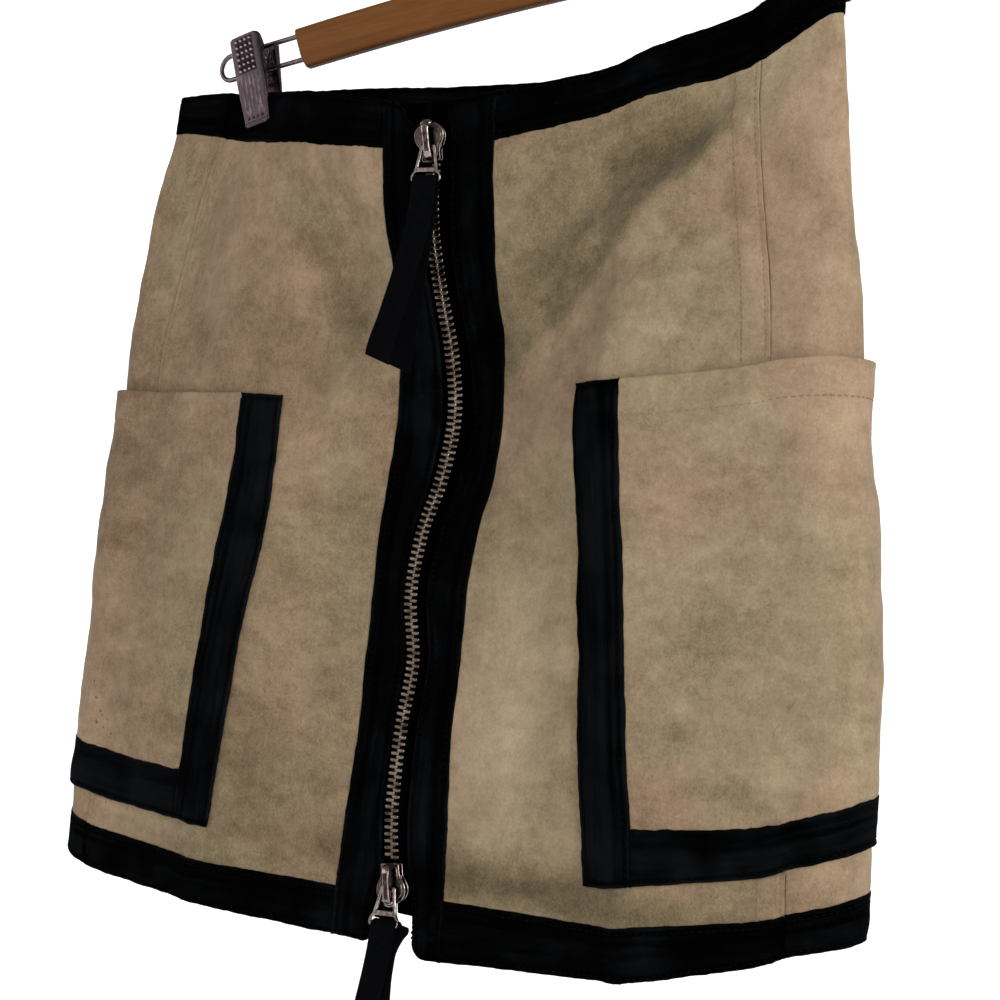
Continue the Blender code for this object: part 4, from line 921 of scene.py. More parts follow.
def lattice(s_lo, s_hi, v_lo, v_hi, step_s, step_v, lo, hi, top, bot, wander=0.0, seed=1.0):
    """Pattern coordinates of a grid with extra lines near its edges, and each
    point's distance from the four nominal lines, mm."""
    mid_v, mid_s = (v_lo + v_hi) / 2, (s_lo + s_hi) / 2
    ss, vv = np.linspace(s_lo, s_hi, 41), np.linspace(v_lo, v_hi, 41)
    wide = scale_s(ss, np.full(41, mid_v)).mean() * (s_hi - s_lo)
    tall = scale_v(np.full(41, mid_s), np.clip(vv, 0.01, 5.99)).mean() * (v_hi - v_lo)
    n_s = max(2, int(round((wide - lo[-1] - hi[-1]) / step_s)) + 1)
    n_v = max(2, int(round((tall - top[-1] - bot[-1]) / step_v)) + 1)
    ts = np.linspace(0, 1, n_s)[1:-1]
    tv = np.linspace(0, 1, n_v)[1:-1]
    # rows: nominal v of each, first along the middle
    k_v = len(top) + len(tv) + len(bot)
    k_s = len(lo) + len(ts) + len(hi)
    lo_a, hi_a, top_a, bot_a = map(np.array, (lo, hi, top, bot))

    def rows(s):
        a = top_a[None, :] / scale_v(s, np.full(len(s), max(v_lo, 0.02)))[:, None]
        b = bot_a[None, :] / scale_v(s, np.full(len(s), min(v_hi, 5.98)))[:, None]
        first, last = v_lo + a, v_hi - b[:, ::-1]
        inside = first[:, -1:] + (last[:, :1] - first[:, -1:]) * tv[None, :]
        return np.concatenate([first, inside, last], 1)

    def cols(v):
        v = np.clip(v, 0.0, 6.0)
        first, last = edge_s(s_lo, v, lo_a, 1), edge_s(s_hi, v, hi_a, -1)[:, ::-1]
        inside = first[:, -1:] + (last[:, :1] - first[:, -1:]) * ts[None, :]
        return np.concatenate([first, inside, last], 1)
    v_mid, s_mid = rows(np.array([mid_s]))[0], cols(np.array([mid_v]))[0]
    S = cols(v_mid).T
    V = rows(s_mid)
    V = np.clip(V, 0.0, 6.0)
    P = skirt(S.ravel(), V.ravel()).reshape(k_s, k_v, 3)
    sc_lo = scale_s(np.full(k_v, s_lo + 0.02), np.clip(v_mid, 0, 6))
    sc_hi = scale_s(np.full(k_v, s_hi - 0.02), np.clip(v_mid, 0, 6))
    sv_top = scale_v(s_mid, np.full(k_s, max(v_lo, 0.02)))
    sv_bot = scale_v(s_mid, np.full(k_s, min(v_hi, 5.98)))
    run_s = np.concatenate([np.zeros((1, k_v)), np.cumsum(np.linalg.norm(np.diff(P, axis=0), axis=-1), 0)])
    run_v = np.concatenate([np.zeros((k_s, 1)), np.cumsum(np.linalg.norm(np.diff(P, axis=1), axis=-1), 1)], 1)
    D = {"lo": run_s + lo[0], "hi": run_s[-1:] - run_s + hi[0],
         "top": run_v + top[0], "bot": run_v[:, -1:] - run_v + bot[0]}
    if wander:
        # the outermost lines wander a little, fading within 1.5 mm
        for key, sign, sc, along in (("lo", 1, sc_lo[None, :], run_v), ("hi", -1, sc_hi[None, :], run_v)):
            f = np.clip(1 - (D[key] - D[key].min()) / 1.5, 0, 1)
            S = S + sign * f * jitter(along, seed + sign, wander) / sc
        for key, sign, sc, along in (("top", 1, sv_top[:, None], run_s), ("bot", -1, sv_bot[:, None], run_s)):
            f = np.clip(1 - (D[key] - D[key].min()) / 1.5, 0, 1)
            j = jitter(along, seed + 5 * sign, wander)
            if (v_lo <= 0 and sign > 0) or (v_hi >= 6 and sign < 0):
                j = np.maximum(j + wander, 0)        # at the hem and waist only inwards
            V = V + sign * f * j / sc
        V = np.clip(V, 0.0, 6.0)
    return S, V, D


def rounded(d, r):
    """Drop of a rounded edge of radius r at distance d from the edge."""
    t = np.clip(1 - d / r, 0, 1)
    return r * (1 - np.sqrt(1 - t * t))


def uv_grid(P, along):
    ds = np.concatenate([np.zeros((1,) + P.shape[1:2]), np.cumsum(np.linalg.norm(np.diff(P, axis=0), axis=-1), 0)])
    dv = np.concatenate([np.zeros(P.shape[:1] + (1,)), np.cumsum(np.linalg.norm(np.diff(P, axis=1), axis=-1), 1)], 1)
    return np.stack([ds, dv] if along == "s" else [dv, ds], -1) * MM


def laid(S, V, strip=True):
    P, _ = ground(S.ravel(), V.ravel(), strip)
    P = P.reshape(S.shape + (3,))
    return P, grid_normals(P)


def front_of(S):
    return np.where(S > 12, S - 24, S)


CORNER = {}


def tape(name, dom, base, thick, edges, mat, along, step=(2.0, 1.6), wander=0.28, seed=1.0, on=0.0,
         corner=None, strip=True, worn=0.0):
    """A folded tape on the pattern: dom is (s_lo, s_hi, v_lo, v_hi); base is its
    outer face's height over the skirt's surface and thick its thickness."""
    kinds = {"lip": LIP, "free": FREE, "butt": BUTT}
    S, V, D = lattice(*dom, *step, *(kinds[e] for e in edges), wander=wander, seed=seed)
    if corner is not None:
        V = corner(S, V, D)
    P, N = laid(S, V, strip)
    outer = np.full(S.shape, base)
    inner = np.full(S.shape, base - thick)
    soft = np.zeros(S.shape)
    rim = np.zeros(S.shape)
    groove = np.zeros(S.shape)
    # rim marks where a painted highlight goes along the edges, groove the painted shade in the stitch creases and the
    # dark joints where tapes butt
    for key, e in zip(("lo", "hi", "top", "bot"), edges):
        d = D[key]
        start = kinds[e][0]
        r = {"lip": 0.45, "free": 0.95, "butt": 0.1}[e]
        outer = outer - rounded(d - start, r)
        if e == "lip":
            over = np.clip((0.25 - d) / 0.3, 0, 1)
            inner = np.maximum(inner, on + 0.06 - (1 - over) * (thick + 5))
        else:
            inner = inner + rounded(d - start, r * 0.8)
        if e == "butt":
            groove = np.maximum(groove, np.exp(-np.clip(d - start, 0, 50) / 0.9))
        else:
            outer = outer - 0.34 * np.exp(-((d - STITCH_IN) / 0.62) ** 2)
            groove = np.maximum(groove, np.exp(-((d - STITCH_IN) / 0.85) ** 2))
            if e == "lip":
                # a second, fainter crease where the folded layers end inside
                outer = outer - 0.20 * np.exp(-((d - LAYERS_IN) / 1.1) ** 2)
                groove = np.maximum(groove, 0.75 * np.exp(-((d - LAYERS_IN) / 1.2) ** 2))
            rim = np.maximum(rim, np.exp(-np.clip(d - start, 0, 50) / 0.8))
            soft = np.maximum(soft, np.exp(-np.clip(d - STITCH_IN, 0, 50) / 5.0))
    # slightly puffed between its stitch lines, and uneven
    outer = outer + 0.16 * (1 - soft)
    wob = swell(P[..., 0] * 3.1 + 40, P[..., 2] * 2.7)
    outer = outer + 0.22 * wob
    outer = np.maximum(outer, inner + 0.2)
    A = P + N * outer[..., None]
    B = P + N * inner[..., None]
    return shell(name, A, B, mat, uv_grid(P, along),
                 {"rim": rim, "groove": groove, "worn": np.full(S.shape, worn)})


# Tone of the hide, partly its uneven colour and partly painted shade and light: x, z,
# reach in x and z, slant in degrees, darker (negative) or lighter, greener (positive) or rosier, side
TONE_COLUMNS = ("x", "z", "rx", "rz", "slant", "tone_and_painted_shade", "olive", "side")
TONES_AND_PAINTED_SHADE = (
    (-150, -90, 30, 40, 10, 0.03, -0.16, -1),
    (-212, -180, 34, 110, 0, -0.09, -0.24, -1),
    (-190, -350, 60, 60, 0, -0.02, -0.12, -1),
    (-110, -290, 90, 150, 0, -0.05, 0.0, -1),
    # painted shadow on the strip of hide between the pocket trim and the hem band, on the right
    (70, -412, 150, 12, -2, -0.48, 0.06, -1),
    (110, -250, 110, 240, 0, 0.0, 0.09, -1),
    (150, -220, 60, 30, 0, -0.04, 0.0, -1),
    # the same painted shadow on the strip above the left hem band
    (-150, -424, 90, 9, -4, -0.10, 0.04, -1),
    (150, -230, 60, 60, 0, 0.07, -0.06, -1),
    (130, -380, 60, 40, 0, 0.05, 0.0, -1),
    (80, -240, 40, 40, 0, 0.08, 0.0, -1),
    (186, -60, 22, 60, 0, 0.06, -0.14, -1),
    (-110, -86, 26, 22, -20, 0.02, 0.22, -1),
    (-84, -110, 14, 44, -28, -0.09, 0.10, -1),
    (-64, -150, 14, 40, -12, -0.10, 0.05, -1),
    (-92, -196, 22, 40, 8, -0.05, -0.12, -1),
    (-58, -210, 14, 50, 0, -0.08, 0.06, -1),
    (-70, -300, 24, 50, 0, 0.04, -0.02, -1),
    (-66, -378, 20, 14, 25, -0.08, 0.24, -1),
    (-98, -424, 16, 8, 0, -0.06, 0.22, -1),
    (-190, -130, 16, 50, 0, 0.08, 0.05, -1),
    (-200, -190, 14, 30, 0, 0.05, -0.02, -1),
    (-176, -290, 40, 70, 0, -0.02, -0.08, -1),
    (-190, -408, 26, 8, -10, 0.07, 0.04, -1),
    (-140, -412, 30, 9, -10, 0.05, 0.04, -1),
    (86, -86, 24, 16, 30, -0.04, 0.18, -1),
    (118, -72, 26, 10, 34, -0.10, 0.10, -1),
    (100, -118, 44, 9, 36, 0.09, -0.06, -1),
    (56, -170, 44, 20, 24, 0.03, 0.02, -1),
    (36, -216, 22, 26, 0, 0.06, -0.04, -1),
    (150, -110, 14, 70, 0, 0.03, -0.04, -1),
    (176, -90, 16, 60, 0, 0.08, -0.12, -1),
    (170, -44, 12, 16, 0, 0.05, -0.05, -1),
    (21, -256, 14, 24, 0, -0.14, 0.20, -1),
    (66, -276, 16, 18, 20, -0.09, 0.20, -1),
    (48, -300, 24, 30, 0, 0.08, -0.02, -1),
    (30, -356, 20, 40, 0, 0.05, 0.04, -1),
    (74, -374, 10, 22, -10, -0.10, 0.20, -1),
    (50, -410, 30, 12, 0, 0.02, 0.18, -1),
    (116, -230, 34, 36, 0, 0.0, -0.08, -1),
    (150, -206, 40, 18, 0, 0.02, 0.08, -1),
    (146, -280, 10, 44, -24, -0.10, 0.10, -1),
    (130, -300, 22, 12, 10, -0.05, 0.16, -1),
    (126, -334, 18, 9, 20, -0.11, 0.26, -1),
    (158, -356, 12, 7, 0, -0.10, 0.28, -1),
    (190, -260, 20, 70, 0, 0.07, -0.04, -1),
    (196, -340, 14, 34, 0, 0.04, 0.08, -1),
    (120, -408, 40, 7, 0, -0.03, 0.16, -1),
    (190, -400, 24, 12, 0, 0.05, -0.02, -1),
    (-110, -130, 90, 90, 0, 0.12, -0.06, -1),
    (36, -190, 40, 10, 52, 0.10, -0.06, -1),
    (134, -120, 50, 6, 58, 0.08, -0.04, -1),
    (104, -160, 44, 7, 60, 0.08, 0.0, -1),
    (-96, -84, 44, 7, -40, -0.12, 0.04, -1),     # shade from the left clip
    (-72, -128, 34, 8, -55, -0.12, 0.02, -1),
    (-112, -76, 40, 6, -34, 0.08, 0.0, -1),
    (-94, -128, 44, 7, -56, 0.08, -0.04, -1),
    (-124, -120, 50, 7, -76, -0.06, -0.04, -1),
    (-66, -180, 40, 8, -72, 0.08, 0.0, -1),
    (-100, -220, 60, 60, 0, 0.08, 0.0, -1),
    (-90, -370, 60, 60, 0, -0.14, 0.0, -1),
    (40, -330, 44, 80, 0, 0.26, 0.06, -1),
    (186, -110, 30, 90, 0, 0.14, -0.08, -1),
    (70, -190, 44, 50, 0, 0.12, 0.0, -1),
    (-120, -100, 30, 40, 20, -0.08, 0.16, 1),
    (-40, -150, 24, 50, -20, -0.10, -0.08, 1),
    (60, -120, 34, 30, 30, 0.08, 0.12, 1),
    (130, -160, 24, 50, 10, -0.09, 0.10, 1),
    (10, -260, 30, 40, 0, 0.07, -0.10, 1),
    (-80, -300, 22, 60, 8, -0.06, 0.16, 1),
    (80, -330, 26, 40, -15, -0.08, 0.14, 1),
    (-20, -390, 34, 18, 0, 0.05, 0.10, 1),
    (-150, -380, 20, 20, 0, -0.08, 0.14, 1),
    (150, -300, 22, 40, 0, 0.06, -0.10, 1),
)


# Where the folds, and the streaks of nap and painted shade along them, fan out from
# on each side, mm in X and Z; on the pockets the streaks run down, as from a point far above
FAN_LEFT, FAN_RIGHT, FAN_BACK_L, FAN_BACK_R = (-150, 10), (185, 60), (-150, 10), (185, 60)


def fan(P, pocket=False):
    """Direction (radians) and distance (dm) from the point the folds fan from."""
    x, z, front = P[..., 0], P[..., 2], P[..., 1] < 0
    left = x < -8
    ox = np.where(left, FAN_LEFT[0], FAN_RIGHT[0])
    oz = np.where(left, FAN_LEFT[1], FAN_RIGHT[1])
    if pocket:
        ox = np.where(left, -190.0, 150.0)
        oz = np.full(x.shape, 420.0)
    a = np.arctan2(x - ox, oz - z)
    r = np.hypot(x - ox, z - oz)
    # lower down the folds die out and the streaks of nap and painted shade lie straight
    down = np.clip((-z - 230) / 160, 0, 1)
    down = down * down * (3 - 2 * down)
    a2, r2 = (x - np.where(left, -60.0, 60.0)) / 420.0, oz - z
    shift = np.where(front, 0.0, 7.3)
    if pocket:
        return a * 2.2 + shift + 11.0, r * 0.01
    return a * (1 - down) + a2 * down + shift, (r * (1 - down) + r2 * down) * 0.01


# Long folds on the front: from x, z to x, z along the crest, the shade's reach
# above it at each end, how dark it is, how light the crest is below it, its
# own reach, and how green the shade looks
SHADES = (
    (146, -48, 36, -172, 24, 64, -0.26, 0.08, 9.0, 0.33),
    (118, -42, 8, -92, 5, 13, -0.07, 0.09, 10.0, 0.18),
    (104, -118, 52, -196, 4, 9, -0.06, 0.10, 4.0, -0.04),
    (118, -104, 78, -176, 4, 8, -0.05, 0.08, 4.0, -0.02),
)


def shades(x, z):
    """Painted shade and light of the long folds, and the shade's greenness: sharp at the crest, soft above."""
    tone_and_painted_shade, olive = np.zeros(x.shape), np.zeros(x.shape)
    for x0, z0, x1, z1, w0, w1, dark, light, below, green in SHADES:
        dx, dz = x1 - x0, z1 - z0
        long = math.hypot(dx, dz)
        t = ((x - x0) * dx + (z - z0) * dz) / long ** 2
        # positive above the crest line
        d = ((x - x0) * dz - (z - z0) * dx) / long
        d = d + 2.2 * np.sin(t * 9.0 + x0) + 1.2 * np.sin(t * 23.0 + z0)
        wide = np.maximum(w0 + (w1 - w0) * np.clip(t, 0, 1.2), 2.0)
        ends = step_up(t + 0.02, 0.22) * (1 - step_up(t - 0.96, 0.5))
        over = 1 / (1 + np.exp(-np.clip(d / 1.3, -40, 40)))
        up = over * np.exp(-(np.maximum(d - 0.35 * wide, 0) / (0.75 * wide)) ** 2) * ends
        tone_and_painted_shade += dark * up + light * (1 - over) * np.exp(-(d / below) ** 2) * ends
        olive += green * up - 0.02 * (1 - over) * np.exp(-(d / below) ** 2) * ends
    return tone_and_painted_shade, olive


def tone_and_painted_shade_of(S, P):
    x, z = P[..., 0], P[..., 2]
    a = front_of(S)
    front = np.clip((6.4 - np.abs(a)) / 0.8, 0, 1)
    tone_and_painted_shade, olive = np.zeros(x.shape), np.zeros(x.shape)
    for cx, cz, rx, rz, slant, dt, do, side in TONES_AND_PAINTED_SHADE:
        c, s_ = math.cos(math.radians(slant)), math.sin(math.radians(slant))
        u = ((x - cx) * c + (z - cz) * s_) / rx
        w = (-(x - cx) * s_ + (z - cz) * c) / rz
        k = np.exp(-(u * u + w * w)) * (front if side < 0 else 1 - front)
        tone_and_painted_shade += dt * k
        olive += do * k
    # painted shade and light of the long folds
    dt, do = shades(x, z)
    return tone_and_painted_shade + dt * front, olive + do * front


def hide(name, dom, base, thick, step, mats, edges=("plain",) * 4, lift=None, strip=True, extra=None,
         fine=((), ())):
    """A suede piece; extra(S, V, P, D) adds to its outer face's height."""
    kinds = {"plain": PLAIN, "free": FREE, "seam": (0.02, 0.16, 0.5, 1.3, 2.2, 3.4) + fine[0],
             "fine": (0.06, 0.2, 0.5, 1.3, 2.2, 3.4)}
    S, V, D = lattice(*dom, *step, *(kinds[e] for e in edges), wander=0.0)
    P, N = laid(S, V, strip)
    outer = np.full(S.shape, base)
    inner = np.full(S.shape, base - thick)
    for key, e in zip(("lo", "hi", "top", "bot"), edges):
        r = {"plain": 0.25, "free": 0.7, "seam": 0.10, "fine": 0.4}[e]
        outer = outer - rounded(D[key] - kinds[e][0], r)
        inner = inner + rounded(D[key] - kinds[e][0], r * 0.7)
    if extra is not None:
        outer = outer + extra(S, V, P, D)
    up = 0.0 if lift is None else lift(S, V)
    A = P + N * (outer + up)[..., None]
    B = P + N * (inner + up)[..., None]
    tone_and_painted_shade, olive = tone_and_painted_shade_of(S, P)
    fa, fr = fan(P)
    return shell(name, A, B, mats, uv_grid(P, "s"), {"tone_and_painted_shade": tone_and_painted_shade, "olive": olive, "fan_a": fa, "fan_r": fr})


def ride(o, *nodes, slot=None, body="root"):
    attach(o, body)
    if nodes:
        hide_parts(*nodes)
    return o


STRIP_LINES = (10.4, 11.2, 11.9, 12.6, 13.2, 13.9, 15.0)
front_step = (2.4, 2.6)
ride(
    hide("suede_front_left", (-5, -2, 1, 5), 0.0, SUEDE, front_step, SUEDE_M,
         ("seam", "plain", "plain", "plain"), fine=(STRIP_LINES, ())), "front_left", slot="suede")
ride(
    hide("suede_front_right", (2, 5, 1, 5), 0.0, SUEDE, front_step, SUEDE_M,
         ("plain", "seam", "plain", "plain"), fine=(STRIP_LINES, ())), "front_right", slot="suede")
ride(
    hide("suede_back", (5, 19, 1, 5), 0.0, SUEDE, (3.0, 3.2), SUEDE_M,
         ("fine", "fine", "plain", "plain")), "back", slot="suede")


def mouth_lift(s, v):
    """The pocket's mouth stands off the skirt a little."""
    t = np.clip(1 - (v - 2) / 0.28, 0, 1)
    mid = np.clip((np.abs(np.where(s > 12, s - 24, s)) - 4) / 1.2, 0, 1)
    back = np.clip((POCKET_BACK - np.abs(np.where(s > 12, s - 24, s))) / 1.0, 0, 1)
    return 2.4 * t * t * mid * back


HEM_IN = 16.6             # the pocket's turned mouth is stitched this far down


def pocket_face(back_key):
    def extra(S, V, P, D):
        d = D["top"]
        out = 0.35 * np.clip((HEM_IN + 1.0 - d) / 1.6, 0, 1)
        out = out - 0.38 * np.exp(-((d - HEM_IN) / 0.7) ** 2)
        out = out - 0.30 * np.exp(-((D[back_key] - 2.2) / 0.7) ** 2)
        return out
    return extra


MOUTH = FREE + (13.4, 15.0, 15.8, 16.6, 17.4, 18.4)


def puff(s, v, p):
    """How far a pocket's cloth stands off the skirt: its mouth, and a soft
    unevenness that dies out at its seams."""
    a = np.abs(front_of(s))
    fade = np.clip((a - 4) / 0.5, 0, 1) * np.clip((POCKET_BACK - a) / 0.6, 0, 1) * np.clip((3 - v) / 0.25, 0, 1)
    wave = 0.5 + 0.5 * np.sin(p[..., 0] * 0.045 + 0.9) * np.sin(p[..., 2] * 0.052 + 0.4)
    return mouth_lift(s, v) + 0.55 * fade * wave


def pocket(tag, dom, edges, back_key, node):
    kinds = {"plain": PLAIN, "free": FREE}
    S, V, D = lattice(*dom, 2.6, 2.6, kinds[edges[0]], kinds[edges[1]], MOUTH, PLAIN)
    P, N = laid(S, V, False)
    base = 0.4 + SUEDE
    outer = base + pocket_face(back_key)(S, V, P, D)
    inner = np.full(S.shape, base - SUEDE)
    for key, r in (("lo", 0.7 if edges[0] == "free" else 0.2), ("hi", 0.7 if edges[1] == "free" else 0.2),
                   ("top", 0.8), ("bot", 0.2)):
        outer = outer - rounded(D[key] - (0.0 if r > 0.5 else 0.15), r)
        inner = inner + rounded(D[key] - (0.0 if r > 0.5 else 0.15), r * 0.7)
    up = puff(S, V, P)
    A = P + N * (outer + up)[..., None]
    B = P + N * (inner + up)[..., None]
    tone_and_painted_shade, olive = tone_and_painted_shade_of(S, P)
    fa, fr = fan(P, True)
    o = shell("suede_pocket_" + tag, A, B, SUEDE_M, uv_grid(P, "s"),
              {"tone_and_painted_shade": tone_and_painted_shade, "olive": olive, "fan_a": fa, "fan_r": fr})
    return ride(o, node, slot="suede")


pocket("left", (24 - POCKET_BACK, 20, 2, 3), ("free", "plain"), "lo", "pocket_left")
pocket("right", (4, POCKET_BACK, 2, 3), ("plain", "free"), "hi", "pocket_right")

# bands round the waist and the hem
WAIST_EDGES = ("free", "lip")          # top, bottom
HEM_EDGES = ("lip", "free")
BAND_UP, PLACKET_UP = 0.5, 0.6


def band(name, dom, edges, node, step=(1.6, 2.0), seed=1.0, **more):
    o = tape(name, dom, BAND_UP, BAND, edges, TRIM_M, "s", step, seed=seed, **more)
    ride(o, node, slot="black_trim")


band("band_waist_left", (-5, -2, 0, 1), ("butt", "butt") + WAIST_EDGES, "waistband_left", seed=1.3)
band("band_waist_right", (2, 5, 0, 1), ("butt", "butt") + WAIST_EDGES, "waistband_right", seed=2.1)
band("band_waist_back", (5, 19, 0, 1), ("butt", "butt") + WAIST_EDGES, "waistband_back", (2.4, 2.2), 3.7)
band("band_hem_left", (-5, -2, 5, 6), ("butt", "butt") + HEM_EDGES, "hem_band_left", seed=4.2)
band("band_hem_right", (2, 5, 5, 6), ("butt", "butt") + HEM_EDGES, "hem_band_right", seed=5.9)
band("band_hem_back", (5, 19, 5, 6), ("butt", "butt") + HEM_EDGES, "hem_band_back", (2.4, 2.2), 6.4)

# radius of the placket bands' corners at the zip edge, top and bottom, mm
CORNERS = {"left": (5.0, 5.5), "right": (4.0, 7.0)}


def corner_of(tag, key):
    top_r, low_r = CORNERS[tag]

    def corner(S, V, D):
        tall = D["top"] + D["bot"]
        dip = rounded(D[key], top_r)
        rise = rounded(D[key], low_r)
        # move each row in from its end, less and less towards the middle
        t = np.clip(1 - D["top"] / 30.0, 0, 1)
        u = np.clip(1 - D["bot"] / 30.0, 0, 1)
        return np.clip(V + (dip * t / 22.0) * 1.0 - (rise * u / 25.0) * 1.0, 0, 6)
    return corner


def placket(tag, dom, edges, node, key, seed):
    o = tape("placket_band_" + tag, dom, PLACKET_UP, BAND, edges, TRIM_M, "v", (2.0, 1.6), seed=seed,
             corner=corner_of(tag, key), worn=0.05)
    ride(o, node, slot="black_trim")


placket("left", (-2, -1, 0, 6), ("lip", "free", "free", "free"), "placket_left", "hi", 7.7)
placket("right", (1, 2, 0, 6), ("free", "lip", "free", "free"), "placket_right", "lo", 8.8)

# tape on the pockets' inner and lower edges, over pocket and panel
ON = 0.4


def edging(name, dom, edges, node, along, seed, step):
    o = tape(name, dom, ON + TRIM, TRIM, edges, TRIM_M, along, step, seed=seed, on=ON + SUEDE, strip=False,
             worn=0.28)
    ride(o, node, slot="black_trim")


edging("pocket_edging_side_left", (-4, -3, 2, 4), ("lip", "free", "free", "free"), "pocket_trim_side_left", "v", 9.1, (2.0, 1.6))
edging("pocket_edging_side_right", (3, 4, 2, 4), ("free", "lip", "free", "free"), "pocket_trim_side_right", "v", 10.3, (2.0, 1.6))
edging("pocket_edging_foot_left", (24 - POCKET_BACK, 20, 3, 4), ("free", "butt", "lip", "free"), "pocket_trim_bottom_left", "s", 11.2, (1.6, 2.0))
edging("pocket_edging_foot_right", (4, POCKET_BACK, 3, 4), ("butt", "free", "lip", "free"), "pocket_trim_bottom_right", "s", 12.5, (1.6, 2.0))

# --------------------------------------------------------------- stitches ----
def seat(path_s, path_v, height, strip=True):
    """Points at a height over the surface, with normals, along a pattern path."""
    p, n = ground(path_s, path_v, strip)
    return p + n * np.asarray(height)[..., None], n


def stitches(points, normals, pitch, length, radius, sink=0.3, phase=0.5):
    """Small rounded stitches along a polyline: returns points and faces."""
    seg = np.linalg.norm(np.diff(points, axis=0), axis=1)
    run = np.concatenate([[0], np.cumsum(seg)])
    n = max(1, int(run[-1] / pitch))
    at = (np.arange(n) + phase) * run[-1] / n
    c = np.stack([np.interp(at, run, points[:, k]) for k in range(3)], 1)
    nrm = np.stack([np.interp(at, run, normals[:, k]) for k in range(3)], 1)
    nrm /= np.linalg.norm(nrm, axis=1, keepdims=True)
    ahead = np.stack([np.interp(np.minimum(at + 0.4, run[-1]), run, points[:, k]) for k in range(3)], 1)
    behind = np.stack([np.interp(np.maximum(at - 0.4, 0), run, points[:, k]) for k in range(3)], 1)
    tan = ahead - behind
    tan /= np.maximum(np.linalg.norm(tan, axis=1, keepdims=True), 1e-9)
    side = np.cross(nrm, tan)
    side /= np.maximum(np.linalg.norm(side, axis=1, keepdims=True), 1e-9)
    # five rings of six points: ends dive into the cloth
    ts = np.array([-0.5, -0.36, 0.0, 0.36, 0.5]) * length
    rs = np.array([0.45, 0.95, 1.0, 0.95, 0.45]) * radius
    hs = np.array([-sink - 0.25, 0.0, 0.10, 0.0, -sink - 0.25])
    wob = 0.12 * np.sin(np.arange(n) * 2.3 + points[0, 0])
    ang = np.arange(6) * math.pi / 3
    rings = (c[:, None, None, :] + tan[:, None, None, :] * ts[None, :, None, None]
             + side[:, None, None, :] * (np.cos(ang)[None, None, :] * rs[None, :, None] + (wob[:, None] * (ts / length)[None, :])[:, :, None])[..., None]
             + nrm[:, None, None, :] * (np.sin(ang)[None, None, :] * rs[None, :, None] * 0.8 + hs[None, :, None])[..., None])
    co = rings.reshape(-1, 3)
    k = np.arange(6)
    quads = []
    for ring in range(4):
        a, b = ring * 6 + k, ring * 6 + (k + 1) % 6
        quads.append(np.stack([a, b, b + 6, a + 6], 1))
    ends = np.array([[0, 3, 2, 1], [0, 5, 4, 3], [24, 25, 26, 27], [24, 27, 28, 29]])
    one = np.concatenate(quads + [ends])
    allq = (one[None] + (np.arange(n) * 30)[:, None, None]).reshape(-1, 4)
    return co, allq


def sewn(name, runs, mat, pitch=3.1, length=2.35, radius=0.27, slot="black_trim"):
    cos, qs, total = [], [], 0
    for k, (p, n) in enumerate(runs):
        co, q = stitches(p, n, pitch, length, radius, phase=0.3 + 0.07 * (k % 5))
        cos.append(co)
        qs.append(q + total)
        total += len(co)
    o = new_mesh(name, place(np.concatenate(cos)), np.concatenate(qs), mat=mat, sharp=60)
    ride(o, slot=slot)
    return o


def along_v(s_line, v0, v1, inward, height, n=None, strip=True):
    """A path down the skirt, `inward` mm from the line s = s_line."""
    n = n or max(12, int(abs(v1 - v0) * 60))
    v = np.linspace(v0, v1, n)
    s = inset_s(s_line, v, inward)[:, 0]
    return seat(s, v, np.full(n, height), strip)


def along_s(v_line, s0, s1, inward, height, n=None, strip=True):
    """A path across the skirt, `inward` mm below the line v = v_line."""
    n = n or max(12, int(abs(s1 - s0) * 30))
    s = np.linspace(s0, s1, n)
    v = v_line + inward / scale_v(s, np.full(n, np.clip(v_line + math.copysign(0.03, inward), 0.02, 5.98)))
    return seat(s, v, np.full(n, height), strip)


def trims_runs():
    up_b, up_p, up_e = BAND_UP - 0.26, PLACKET_UP - 0.26, ON + TRIM - 0.26
    r = []
    for s0, s1 in ((-4.97, -2.06), (2.06, 4.97), (5.02, 18.98)):
        r.append(along_s(0, s0, s1, STITCH_IN, up_b))
        r.append(along_s(1, s0, s1, -STITCH_IN, up_b))
        r.append(along_s(5, s0, s1, STITCH_IN, up_b))
        r.append(along_s(6, s0, s1, -STITCH_IN, up_b))
    r.append(along_v(-2, 0.12, 5.9, STITCH_IN, up_p))
    r.append(along_v(-1, 0.16, 5.84, -STITCH_IN, up_p))
    r.append(along_v(1, 0.16, 5.80, STITCH_IN, up_p))
    r.append(along_v(2, 0.12, 5.9, -STITCH_IN, up_p))
    for lo, hi in ((-4, -3), (3, 4)):
        r.append(along_v(lo, 2.02, 3.95, STITCH_IN, up_e, strip=False))
        r.append(along_v(hi, 2.02, 3.95, -STITCH_IN, up_e, strip=False))
    for s0, s1 in ((24 - POCKET_BACK + 0.05, 19.98), (4.02, POCKET_BACK - 0.05)):
        r.append(along_s(3, s0, s1, STITCH_IN, up_e, strip=False))
        r.append(along_s(4, s0, s1, -STITCH_IN, up_e, strip=False))
    return r


sewn("stitches_on_tapes", trims_runs(), THREAD_B)


